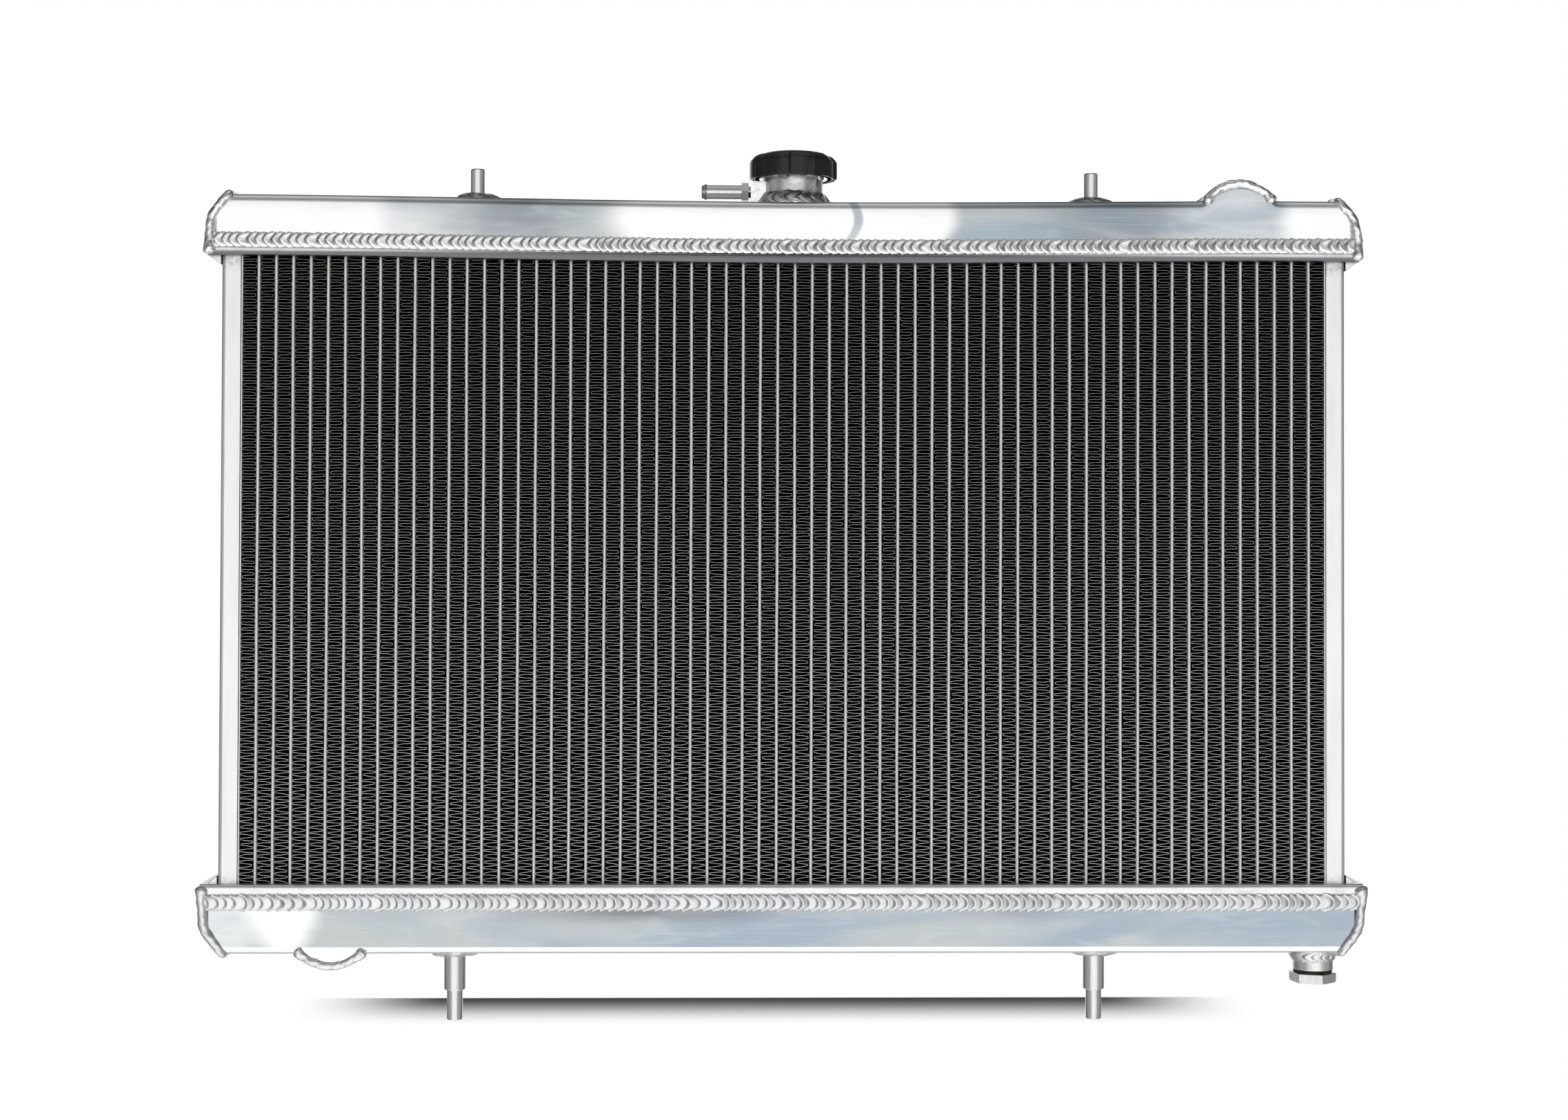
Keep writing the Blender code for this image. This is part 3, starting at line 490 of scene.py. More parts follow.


# %% [markdown]
# ## Finishes
#
# Bare aluminium is one metal with many faces. Rolled sheet that was buffed shows blue-grey clouds
# and fine lines along the sheet, and painted reflections and painted shade set where it is white and
# where it is dark; a weld is bright on its crests, with painted shade in its grooves; tubes and fins
# carry painted shade deep in the core; tubes and side plates are satin. Each finish is a Principled
# metal with noise at the real grain's size in its colour and roughness, and a faint bump.


# %% Buffed sheet for the tanks
def buffed_sheet(painted_reflection, shade):
    """Buffed sheet between white and blue-grey. The first function given places painted reflections, white
    stretches where the tank mirrors the bright room, and the second places painted shade.
    """

    def paint(finish):
        x, _, z = finish.places()
        cloud = finish.noise((120, 80, 30), 2.0, 0.45, 0.6)
        patch = finish.noise((44, 80, 12), 2.0, 0.5, 0.8)
        lines = finish.noise((46, 46, 0.5), 3.0, 0.6)
        specks = finish.noise((1.6, 1.6, 0.7), 2.0, 0.7)
        # Painted reflections and painted shade: white and darker stretches placed along the tank, loosened by
        # the noise.
        white = (painted_reflection(x, z) + cloud * 0.5 + patch * 0.4 - 0.45).step(0.0, 1.0)
        tone = finish.mix(cloud.step(0.35, 0.65), (0.36, 0.43, 0.50), (0.50, 0.53, 0.53))
        tone = finish.mix(shade(x, z), tone, (0.17, 0.175, 0.19))
        colour = finish.mix(white, tone, (0.93, 0.935, 0.94))
        colour = finish.mix(patch.step(0.50, 0.75) * 0.25, colour, (0.66, 0.68, 0.70))
        colour = finish.mix(lines.step(0.56, 0.80) * 0.3, colour, (0.90, 0.90, 0.90))
        colour = finish.mix(specks.step(0.70, 0.78) * 0.4, colour, (0.95, 0.95, 0.95))
        rough = 0.17 + lines * 0.10 + specks * 0.06
        return {"Base_Color": colour, "Roughness": rough, "Normal": finish.bump(lines, 0.006)}

    return paint


def top_painted_reflections(x, z):
    """Painted reflections: white at both ends and round the neck, but for a thin curved band beside the neck.
    """
    bend = (z - TANK_TOP + 13) * (z - TANK_TOP + 13) * 0.035
    band = 1 - abs(x - 42 + bend).step(1.5, 4.0)
    middle = (x - bend * 2).step(-122, -84) * (1 - (x + bend).step(90, 108))
    left = (1 - x.step(-250, -228)) * 0.55 + (1 - x.step(-236, -140)) * 0.45
    right = x.step(200, 245) * 0.35 + x.step(284, 304) * 0.65
    return left + middle + right - band * 0.75


def top_shade(x, z):
    """Darker towards the end of each blue-grey stretch."""
    left = x.step(-228, -155) * (1 - x.step(-150, -110))
    right = x.step(120, 195) * (1 - x.step(205, 265))
    return (left + right) * 0.42


def bottom_painted_reflections(x, z):
    """Painted reflections: blue-grey but for a wedge of white near the left end, and a painted highlight
    along the folded edge.
    """
    wedge = 1 - (abs(x + 290) - (z - TANK_BOTTOM - 22) * 0.45).step(4, 30)
    # Painted highlight along the folded bottom edge.
    fold = 1 - z.step(TANK_BOTTOM + 3.6, TANK_BOTTOM + 4.6)
    return wedge * 1.1 + (1 - x.step(-318, -296)) * 0.5 + fold * 2 - 0.05


def bottom_shade(x, z):
    """A long dark reflection in the upper half of the face, left of the middle."""
    upper = z.step(TANK_BOTTOM + 15, TANK_BOTTOM + 25)
    left = 1 - abs(x + 78).step(10, 112)
    right = 1 - abs(x - 134).step(6, 48)
    return (left + right * 0.35) * upper * 0.72


TOP_SHEET = new_material("buffed_top_sheet", buffed_sheet(top_painted_reflections, top_shade), Metallic=1.0)
BOTTOM_SHEET = new_material("buffed_bottom_sheet", buffed_sheet(bottom_painted_reflections, bottom_shade), Metallic=1.0)


# %% Satin aluminium, weld metal, tubes and fins
def satin(light, stain=0.25, grain=(0.8, 0.8, 18.0), rough=0.34):
    """Brushed or blasted aluminium: streaks of this grain, and soft stains."""

    def paint(finish):
        streak = finish.noise(grain, 3.0, 0.65)
        cloud = finish.noise((14, 14, 14), 3.0, 0.55, 0.4)
        pale = tuple(light * tint for tint in (1.0, 1.0, 0.99))
        dull = tuple(light * tint for tint in (0.62, 0.63, 0.64))
        share = streak.step(0.35, 0.75) * 0.3 + cloud.step(0.5, 0.72) * stain
        colour = finish.mix(share, pale, dull)
        return {
            "Base_Color": colour,
            "Roughness": streak * 0.16 + rough - 0.08,
            "Normal": finish.bump(streak, 0.03),
        }

    return paint


def paint_header(finish):
    """Satin channel with painted shade: a dark band on the bend over the core."""
    painted = satin(0.88, 0.3, (30.0, 1.0, 0.7), 0.30)(finish)
    _, _, z = finish.places()
    low = span("top_header")[0][2]
    # Painted shade on the bend of the top header over the core.
    dull = z.step(low - 9, low - 8) * (1 - z.step(low + 0.8, low + 2.8))
    painted["Base_Color"] = finish.mix(dull * 0.9, painted["Base_Color"], (0.10, 0.10, 0.11))
    return painted


def paint_side_plate(finish):
    """Satin channel, with a mottled heat stain where it meets a header."""
    _, _, z = finish.places()
    low, high = span("side_plate_left")[0][2], span("side_plate_left")[1][2]
    heat = z.step(high - 11, high - 3) + (1 - z.step(low + 1, low + 7)) * 0.6
    mottle = finish.noise((2.6, 2.6, 2.6), 4.0, 0.7, 0.8)
    streak = finish.noise((0.9, 0.9, 30.0), 3.0, 0.6)
    cloud = finish.noise((9, 9, 60), 2.0, 0.5)
    base = finish.mix(cloud.step(0.35, 0.7) * 0.35, (0.90, 0.90, 0.89), (0.72, 0.73, 0.74))
    base = finish.mix(heat * mottle.step(0.38, 0.62) * 0.8, base, (0.42, 0.42, 0.43))
    relief = streak + heat * mottle
    return {"Base_Color": base, "Roughness": streak * 0.14 + 0.32, "Normal": finish.bump(relief, 0.05)}


def weld_metal(crest, hollow, rough):
    """Cast metal, bright where it bulged and dark in the grooves between puddles: the dark in the grooves is
    painted shade, and the soot noise adds real stains.
    """

    def paint(finish):
        groove = finish.attribute("groove")
        soot = finish.noise((3.2, 3.2, 2.2), 3.0, 0.6, 0.5)
        grit = finish.noise((0.5, 0.5, 0.5), 2.0, 0.6)
        # Painted shade in the grooves between puddles, plus soot stains from the noise.
        share = (groove * 0.85 + soot.step(0.52, 0.78) * 0.35).step(0.0, 1.0)
        colour = finish.mix(share, crest, hollow)
        return {
            "Base_Color": colour,
            "Roughness": groove * 0.25 + grit * 0.10 + rough,
            "Normal": finish.bump(grit + soot, 0.06),
        }

    return paint


def paint_tube(finish):
    """Brazed tube: pale and matt, with grey flux runs and small dents, and painted shade that turns it almost
    black deep inside the core.
    """
    flux = finish.noise((1.2, 6.0, 9.0), 4.0, 0.65, 0.4)
    dents = finish.noise((3.0, 8.0, 14.0), 2.0, 0.5)
    _, y, _ = finish.places()
    # Painted shade: almost black more than a few millimetres in from the front and back, where the fins shut
    # out the light.
    depth = 1 - abs(y).step(19.0, 25.0)
    face = finish.mix(flux.step(0.45, 0.75) * 0.45, (0.80, 0.79, 0.77), (0.50, 0.50, 0.49))
    colour = finish.mix(depth * 0.94, face, (0.03, 0.03, 0.03))
    return {"Base_Color": colour, "Roughness": flux * 0.2 + 0.38, "Normal": finish.bump(dents, 0.12)}


def paint_fin(finish):
    """Thin folded sheet: grey along its cut edges, with painted light that makes the edges paler low in the
    core and darker high up, and painted shade that makes it almost black inside the core.
    """
    _, y, z = finish.places()
    low, high = span("side_plate_left")[0][2], span("side_plate_left")[1][2]
    # Painted shade: almost black everywhere but along the cut edges at the front and back.
    depth = 1 - abs(y).step(23.4, 24.9)
    spots = finish.noise((5.0, 5.0, 2.2), 3.0, 0.7)
    # Painted light: the cut edges paler low in the core, where light comes up from the floor, and darker high
    # up.
    bright = finish.mix(z.step(low, high), (0.62, 0.62, 0.61), (0.22, 0.22, 0.22))
    edge = finish.mix(spots.step(0.45, 0.7) * 0.55, bright, (0.07, 0.07, 0.07))
    colour = finish.mix(depth, edge, (0.012, 0.012, 0.012))
    return {"Base_Color": colour, "Roughness": spots * 0.2 + 0.4}


SATIN = new_material("satin_aluminium", satin(0.84), Metallic=1.0)
HEADER_METAL = new_material("header_metal", paint_header, Metallic=1.0)
PIN_METAL = new_material("pin_metal", satin(0.80, 0.2, (0.6, 0.6, 12.0), 0.26), Metallic=1.0)
PIPE_METAL = new_material("pipe_metal", satin(0.82, 0.2, (0.7, 14.0, 0.7), 0.30), Metallic=1.0)
SIDE_METAL = new_material("side_plate_metal", paint_side_plate, Metallic=1.0)
TOP_WELD = new_material(
    "bright_weld", weld_metal((0.97, 0.97, 0.97), (0.20, 0.20, 0.21), 0.14), Metallic=1.0
)
BOTTOM_WELD = new_material(
    "satin_weld", weld_metal((0.82, 0.82, 0.83), (0.30, 0.30, 0.31), 0.32), Metallic=1.0
)
# Painted shade: a darker copy of the weld metal, for the mounds round the top pins.
SHADED_MOUND_WELD = new_material(
    "shaded_mound_weld", weld_metal((0.55, 0.55, 0.56), (0.12, 0.12, 0.12), 0.22), Metallic=1.0
)
TUBE_METAL = new_material("brazed_tube", paint_tube, Metallic=0.85)
FIN_METAL = new_material("fin_sheet", paint_fin, Metallic=0.6)


# %% Heat-tinted neck, cap plastic, rubber, brass and spring wire
def paint_neck(finish):
    """Polished spun metal with milky blotches left by the weld's heat."""
    cloud = finish.noise((9.0, 9.0, 6.0), 3.0, 0.55, 0.8)
    fine = finish.noise((1.2, 1.2, 0.4), 3.0, 0.6)
    colour = finish.mix(cloud.step(0.40, 0.66), (0.92, 0.92, 0.92), (0.66, 0.67, 0.68))
    return {
        "Base_Color": colour,
        "Roughness": cloud * 0.22 + 0.16,
        "Normal": finish.bump(fine + cloud, 0.06),
    }


def paint_plastic(finish):
    """Moulded black plastic: a fine even grain, with faint rubbed patches."""
    grain = finish.noise((0.35, 0.35, 0.35), 2.0, 0.6)
    rubbed = finish.noise((7.0, 7.0, 5.0), 3.0, 0.6)
    colour = finish.mix(rubbed.step(0.45, 0.75) * 0.6, (0.006, 0.006, 0.007), (0.018, 0.018, 0.019))
    rough = rubbed * 0.16 + 0.20
    return {"Base_Color": colour, "Roughness": rough, "Normal": finish.bump(grain, 0.02)}


def plain_metal(colour, dark, rough):
    """A small turned or stamped part: fine rings of tone in one metal."""

    def paint(finish):
        rings = finish.noise((2.0, 2.0, 0.35), 3.0, 0.6)
        return {
            "Base_Color": finish.mix(rings.step(0.35, 0.75) * 0.6, colour, dark),
            "Roughness": rings * 0.2 + rough,
            "Normal": finish.bump(rings, 0.02),
        }

    return paint


def paint_rubber(finish):
    """Black rubber under a thin film of dust."""
    dust = finish.noise((2.2, 2.2, 2.2), 4.0, 0.65)
    colour = finish.mix(dust.step(0.5, 0.8), (0.012, 0.012, 0.012), (0.045, 0.044, 0.042))
    return {"Base_Color": colour, "Roughness": dust * 0.2 + 0.55, "Normal": finish.bump(dust, 0.05)}


NECK_METAL = new_material("neck_metal", paint_neck, Metallic=1.0)
CAP_PLASTIC = new_material(
    "cap_plastic", paint_plastic, Metallic=0.0, Coat_Weight=0.12, Specular_IOR_Level=0.35
)
RUBBER = new_material("seal_rubber", paint_rubber, Metallic=0.0)
BRASS = new_material(
    "valve_brass", plain_metal((0.83, 0.62, 0.30), (0.50, 0.36, 0.16), 0.18), Metallic=1.0
)
STEEL = new_material(
    "spring_steel", plain_metal((0.66, 0.66, 0.67), (0.40, 0.40, 0.41), 0.18), Metallic=1.0
)
# Painted shade: the steel shell under the cap's rim is made dark, as it lies in the cap's shadow.
SHADED_SHELL_STEEL = new_material(
    "shaded_shell_steel", plain_metal((0.20, 0.20, 0.21), (0.08, 0.08, 0.08), 0.3), Metallic=1.0
)
print(len(bpy.data.materials), "materials")

# %% [markdown]
# ## Tubes
#
# Each water tube is flat sheet rolled into an oval and brazed, so its front edge is a narrow half
# round. The section is a slot shape: two flats and two half circles. It is carried up a path that
# bows by a tenth of a millimetre, because no brazed tube is quite straight.

# %% Tubes
TUBE_COUNT = 62
CORE_LOW, CORE_HIGH = span("core")
TUBE_THICKNESS = 1.9
TUBE_HALF_DEPTH = CORE_HIGH[1]
TUBE_PITCH = 10.12
TUBE_X = (np.arange(TUBE_COUNT) - (TUBE_COUNT - 1) / 2) * TUBE_PITCH


def tube_grid(rows=26, nose_points=7):
    """All tubes at once, as (tube, row, column, axis): a slot section at each height."""
    nose = np.linspace(0, math.pi, nose_points)
    half = TUBE_THICKNESS / 2
    reach = TUBE_HALF_DEPTH - half
    front = np.stack([-half * np.cos(nose), -reach - half * np.sin(nose)], axis=-1)
    section = np.concatenate([front, -front])
    z = np.linspace(CORE_LOW[2], CORE_HIGH[2], rows)
    number = np.arange(TUBE_COUNT)[:, None]
    bow = 0.13 * wobble(z[None, :] / 70 + number * 1.9, 3)
    grid = np.empty((TUBE_COUNT, rows, len(section), 3))
    grid[..., 0] = TUBE_X[:, None, None] + bow[..., None] + section[None, None, :, 0]
    grid[..., 1] = section[None, None, :, 1]
    grid[..., 2] = z[None, :, None]
    return grid


def repeated_quads(count, quads, points_each):
    """The same quads for each of several copies of a grid."""
    starts = np.arange(count)[:, None, None] * points_each
    return (quads[None] + starts).reshape(-1, 4)


tubes = tube_grid()
tube_quads = closed_quads(*tubes.shape[1:3])
piece_from(
    "core_tubes",
    tubes.reshape(-1, 3),
    repeated_quads(TUBE_COUNT, tube_quads, tubes.shape[1] * tubes.shape[2]),
    TUBE_METAL,
    "radiator",
    "core_aluminium",
    nodes=("core",),
)

# %% [markdown]
# ## Fins
#
# A fin strip is one long ribbon, folded back and forth between two tubes, so from the front only
# its cut edge shows: thin lines joined by small U turns. The folds are never even. Each turn has
# its own radius and its own height, and tighter turns low in the core make the passes lean, as
# pressed strips do. The ribbon is a closed sheet a quarter of a millimetre thick.

# %% Fin ribbons
FIN_PASSES = 216
FIN_SHEET = 0.24
FIN_HALF_DEPTH = TUBE_HALF_DEPTH - 1.0
FIN_LOW, FIN_HIGH = (edge[2] for edge in span("side_plate_left"))
FIN_COLUMNS = np.concatenate([[TUBE_X[0] - TUBE_PITCH], TUBE_X]) + TUBE_PITCH / 2
FIN_WIDTH = TUBE_PITCH - TUBE_THICKNESS - 0.1
FIN_GROUP = 16


def fin_route(column):
    """The folded line of one strip: alternate U turns at left and right, joined by passes."""
    fold = np.arange(FIN_PASSES)
    pitch = (FIN_HIGH - FIN_LOW - 1.0) / FIN_PASSES
    height = FIN_LOW + 0.5 + (fold + 0.5) * pitch
    share = (height - FIN_LOW) / (FIN_HIGH - FIN_LOW)
    uneven = scatter(fold + 300 * column, 1)
    radius = pitch * (0.26 + 0.20 * smooth(share * 1.6) + 0.10 * (uneven - 0.5))
    height = height + 0.34 * (scatter(fold + 300 * column, 2) - 0.5)
    side = np.where(fold % 2 == 0, 1.0, -1.0)
    inset = 0.9 * scatter(fold + 300 * column, 4) ** 3
    turn = np.radians([-90, -38, 38, 90])
    reach = (FIN_WIDTH / 2 - inset)[:, None] - radius[:, None] * (1 - np.cos(turn))
    x = side[:, None] * reach
    z = height[:, None] + radius[:, None] * np.sin(turn)
    middle_z = (z[:-1, 3] + z[1:, 0]) / 2 + 0.5 * (scatter(fold[:-1] + 300 * column, 3) - 0.5)
    middle_x = 2.0 * (scatter(fold[:-1] + 300 * column, 5) - 0.5)
    last = FIN_PASSES - 1
    x = np.concatenate([x, np.append(middle_x, x[last, 3] * 0.3)[:, None]], axis=1)
    z = np.concatenate([z, np.append(middle_z, z[last, 3])[:, None]], axis=1)
    return np.stack([x.ravel() + FIN_COLUMNS[column], z.ravel()], axis=-1)


def ribbon(route):
    """The route with its sheet thickness and depth, as a grid (points, 4 corners, axis)."""
    along = np.gradient(route, axis=0)
    along /= np.linalg.norm(along, axis=1, keepdims=True)
    across = np.stack([-along[:, 1], along[:, 0]], axis=-1) * FIN_SHEET / 2
    grid = np.empty((len(route), 4, 3))
    for corner, (side, depth) in enumerate(((-1, -1), (1, -1), (1, 1), (-1, 1))):
        grid[:, corner, 0] = route[:, 0] + side * across[:, 0]
        grid[:, corner, 1] = depth * FIN_HALF_DEPTH
        grid[:, corner, 2] = route[:, 1] + side * across[:, 1]
    return grid


for first in range(0, len(FIN_COLUMNS), FIN_GROUP):
    columns = range(first, min(first + FIN_GROUP, len(FIN_COLUMNS)))
    grids = np.stack([ribbon(fin_route(column)) for column in columns])
    piece_from(
        f"fin_strips_{first // FIN_GROUP + 1}",
        grids.reshape(-1, 3),
        repeated_quads(len(grids), closed_quads(*grids.shape[1:3]), grids.shape[1] * 4),
        FIN_METAL,
        "radiator",
        "core_aluminium",
        sharp=60,
    )

# %% [markdown]
# ## Louvres
#
# A fin isn't a plain sheet. Rows of small slats are cut in it and turned across the air stream, so
# nobody can look straight through a core. One folded wall for each strip, in the middle of the
# core's depth, stands for the slats that close the line of sight.

# %% Louvre walls
LOUVRE_FOLD = 3.4
LOUVRE_SWAY = 1.4


def louvre_grid(rows=2 * int((FIN_HIGH - FIN_LOW) / LOUVRE_FOLD)):
    """Zigzag walls, as (strip, row, corner, axis): the fold swings front and back with height."""
    z = np.linspace(FIN_LOW + 0.4, FIN_HIGH - 0.4, rows)
    swing = np.where(np.arange(rows) % 2 == 0, LOUVRE_SWAY, -LOUVRE_SWAY)
    grid = np.empty((len(FIN_COLUMNS), rows, 4, 3))
    for corner, (side, wall) in enumerate(((-1, -1), (1, -1), (1, 1), (-1, 1))):
        grid[:, :, corner, 0] = (FIN_COLUMNS + side * (FIN_WIDTH / 2 + 0.05))[:, None]
        grid[:, :, corner, 1] = (swing + wall * 0.3)[None, :]
        grid[:, :, corner, 2] = z[None, :]
    return grid


louvres = louvre_grid()
piece_from(
    "fin_louvres",
    louvres.reshape(-1, 3),
    repeated_quads(len(louvres), closed_quads(*louvres.shape[1:3]), louvres.shape[1] * 4),
    FIN_METAL,
    "radiator",
    "core_aluminium",
    sharp=60,
)

# %% [markdown]
# ## Tanks
#
# A tank is a folded channel of 2 mm sheet with its ends cut on a slope. Where the hose pipe is
# deeper than the tank, the sheet rises in a round hump. So the tank is one profile carried along
# X, whose height follows an outline: level, a smooth maximum with the hump's circle, and the two
# sloped ends. Faces inside the neck and the pipes are left out, and Solidify gives the wall.

# %% Tank shells
SHEET = 2.0
TANK_EDGE = 5.0
TANK_SAG = 2.4
HEADER_SAG = 1.3
PIPE_OPENING = 16.3
NECK_OPENING = 14.0
HUMP_BLEND = 2.2
TANK_HIGH_Y = span("top_tank")[1][1]
NECK_TOP = span("filler_neck")[1][2]
NECK_X = (span("cap_cover")[0][0] + span("cap_cover")[1][0]) / 2
TANKS = {
    "top": {
        "up": 1,
        "level": TANK_TOP,
        "slope": (10.3, 11.0),
        "pipe": "inlet_pipe",
        "hump": 24.0,
        "sheet": TOP_SHEET,
        "weld": TOP_WELD,
        "bead": 8.0,
        "bulge": 0.5,
        "stand": 1.1,
        "knob": 4.4,
    },
    "bottom": {
        "up": -1,
        "level": TANK_BOTTOM,
        "slope": (11.4, 13.5),
        "pipe": "outlet_pipe",
        "hump": 22.5,
        "sheet": BOTTOM_SHEET,
        "weld": BOTTOM_WELD,
        "bead": 9.4,
        "bulge": 1.0,
        "stand": -0.2,
        "knob": 4.9,
    },
}


def pipe_centre(tank):
    """The middle of the hose pipe that goes with a tank."""
    low, high = span(tank["pipe"])
    return (low + high) / 2


def tank_rise(tank, x, half_length):
    """How far the tank stands beyond its flat level at each x: hump up, sloped ends down."""
    centre = pipe_centre(tank)
    from_centre = x - centre[0]
    inside = np.clip(tank["hump"] ** 2 - from_centre**2, 0, None)
    beyond = np.clip(np.abs(from_centre) - tank["hump"], 0, None)
    pipe_below = (tank["level"] - centre[2]) * tank["up"]
    crown = np.sqrt(inside) - pipe_below - beyond
    hump = (crown + np.sqrt(crown**2 + HUMP_BLEND**2)) / 2
    run, drop = tank["slope"]
    slope = np.clip(np.abs(x) - (half_length - run), 0, None) * drop / run
    return hump * (slope == 0) - slope


def sag(name, x):
    """How far the long top tank hangs in the middle, pulled down by the heat of its seams."""
    half = span("top_header")[1][0]
    return (TANK_SAG if name == "top" else 0.0) * np.cos(math.pi / 2 * np.asarray(x) / half) ** 2


def tank_section(points_wall=7, points_round=9, points_top=22):
    """The folded section from the front foot over the top to the back foot.

    Each point has a y, a drop below the tank's level, and a share of the wall's height.
    """
    half = TANK_HIGH_Y
    quarter = np.linspace(0, math.pi / 2, points_round)
    wall = np.linspace(1, 0, points_wall)[:-1]
    y = [-half + 0 * wall, -half + TANK_EDGE * (1 - np.cos(quarter))]
    drop = [TANK_EDGE + 0 * wall, TANK_EDGE * (1 - np.sin(quarter))]
    share = [wall, 0 * quarter]
    top = np.linspace(-half + TANK_EDGE, half - TANK_EDGE, points_top)[1:-1]
    y += [top, -y[1][::-1], -y[0][::-1]]
    drop += [0 * top, drop[1][::-1], drop[0][::-1]]
    share += [0 * top, share[1][::-1], share[0][::-1]]
    return (np.concatenate(part) for part in (y, drop, share))


def tank_shell(name, tank):
    """The section carried along the tank, open where the neck and the pipe go through it."""
    low, high = span(f"{name}_tank")
    x = np.linspace(low[0], high[0], 610)
    rise = tank_rise(tank, x, span(f"{name}_header")[1][0])[:, None]
    y, drop, share = tank_section()
    foot = low[2] if tank["up"] > 0 else high[2]
    up, level = tank["up"], tank["level"]
    edge = level + up * (rise - drop)
    shoulder = level + up * (rise - TANK_EDGE)
    z = np.where(share > 0, shoulder + (foot - shoulder) * share, edge)
    dent = 0.10 * wobble(x[:, None] / 55 + y / 40, 5) * np.sin(math.pi * np.clip(share, 0, 1))
    grid = np.empty((len(x), len(y), 3))
    grid[..., 0] = x[:, None]
    grid[..., 1] = y + np.sign(y) * dent
    grid[..., 2] = z - sag(name, x)[:, None]
    points = grid.reshape(-1, 3)
    quads = grid_quads(*grid.shape[:2], round_columns=False)
    middle = points[quads].mean(axis=1)
    pipe = pipe_centre(tank)
    bore = np.hypot(middle[:, 0] - pipe[0], middle[:, 2] - pipe[2]) < PIPE_OPENING
    quads = quads[~(bore & (middle[:, 1] > TANK_HIGH_Y - 1))]
    if up > 0:
        middle = points[quads].mean(axis=1)
        neck = np.hypot(middle[:, 0] - NECK_X, middle[:, 1]) < NECK_OPENING
        quads = quads[~(neck & (middle[:, 2] > level - 1))]
    nodes = (f"{name}_tank",)
    shell = piece_from(
        f"{name}_tank_shell", points, quads, tank["sheet"], "radiator", "polished_aluminium", nodes
    )
    wall = shell.modifiers.new("wall", "SOLIDIFY")
    wall.thickness = SHEET * MM
    wall.offset = -1


for tank_name, tank in TANKS.items():
    tank_shell(tank_name, tank)

# %% [markdown]
# ## Headers
#
# The header is the plate that the tubes pass through. Its long edges are folded up round the
# tank's foot, so the front shows a lip with a soft bend below it. The section is a shallow
# channel with a 2 mm wall, carried along X with a trace of unevenness from the weld's pull.


# %% Headers
HEADER_BELOW = {1: 0.9, -1: 1.4}  # how far the bend stands out towards the core, top and bottom


def header_grid(name, up, stations=260):
    """The channel's section at each x: outer bend, lips and the inner faces."""
    low, high = span(f"{name}_header")
    core_side, lip = (low[2], high[2]) if up > 0 else (high[2], low[2])
    core_side -= up * HEADER_BELOW[up]
    inner = high[1] - SHEET
    corners = [
        (0, core_side),
        (-high[1], core_side),
        (-high[1], lip),
        (-inner, lip),
        (-inner, core_side + up * SHEET),
        (0, core_side + up * SHEET),
    ]
    outer = rounded(corners[:4], 3.0, 7)
    section = np.concatenate([outer, corners[4:]])
    mirrored = section[::-1][1:-1] * (-1, 1)
    section = np.concatenate([section, mirrored])
    if len(section) % 2:
        section = np.delete(section, len(outer) // 2, axis=0)
    x = np.linspace(low[0], high[0], stations)
    pull = 0.12 * wobble(x / 60, 8)[:, None]
    grid = np.empty((stations, len(section), 3))
    grid[..., 0] = x[:, None]
    grid[..., 1] = section[:, 0] + np.sign(section[:, 0]) * pull
    grid[..., 2] = section[:, 1] + 0.5 * pull - HEADER_SAG * sag(name, x)[:, None]
    return grid


for tank_name, tank in TANKS.items():
    ringed_piece(
        f"{tank_name}_header_channel",
        header_grid(tank_name, tank["up"]),
        HEADER_METAL,
        "radiator",
        "satin_aluminium",
        nodes=(f"{tank_name}_header",),
        sharp=50,
    )

# %% [markdown]
# ## Weld beads
#
# A bead laid by hand is a row of puddles, each frozen over the one before. Seen from above, each
# front is a bow; cut lengthwise, it is a sawtooth with a steep front and a long fall. That one
# rule makes the long seams when its section runs between two edges, and the rings round the neck,
# the pins and the pipes when the seam runs in a circle. A value per point marks the grooves.

# %% The rule for puddles
ACROSS = 13


def puddles(place, across, bow, seed, count=0):
    """Height of the frozen puddles and how deep in a groove each point lies, both 0 to 1.

    `place` counts puddles along the seam, and `across` runs from -1 to 1 over it.
    """
    moved = place + bow * (1 - across**2)
    number = np.floor(moved)
    share = moved - number
    number = number % count if count else number
    size = 0.65 + 0.7 * scatter(number, seed)
    height = smooth(share / 0.3) * (1 - 0.9 * share) * size
    groove = np.exp(-((share / 0.13) ** 2)) + np.exp(-(((1 - share) / 0.12) ** 2))
    return height, np.clip(groove, 0, 1)


def bead_section(place, low, high, bulge, ripple, bow, seed, count=0):
    """The bead's section and grooves at each place: a bowed face between two edges and a root.

    The face swells by `bulge`, its puddles add `ripple`, and the root lies inside the metal.
    """
    across = np.linspace(-1, 1, ACROSS)[None, :]
    height, groove = puddles(place[:, None], across, bow, seed, count)
    low, high = np.array(low, float), np.array(high, float)
    run = high - low
    outward = np.array([run[1], -run[0]]) / np.linalg.norm(run)
    share = (across + 1) / 2 + 0.09 * across * (height - 0.3)
    crown = np.sqrt(np.clip(1 - 0.97 * across**2, 0, 1))
    lift = bulge * crown + ripple * height * (1 - 0.55 * across**2)
    face = low + run * share[..., None] + outward * lift[..., None]
    root = np.stack([high - outward * 1.2, low - outward * 1.2]) + 0 * place[:, None, None]
    groove = np.concatenate([groove * (1 - 0.4 * across**2), 0 * groove[:, :2]], axis=1)
    ring = np.concatenate([face, root], axis=1)
    closing = (ring[:, -1:] + ring[:, :1]) / 2
    ring = np.concatenate([ring, closing], axis=1)
    return ring, np.concatenate([groove, groove[:, -1:]], axis=1)


# %% Long seams between tank and header
SEAM_PITCH = 5.1
SEAM_RIPPLE = 1.6


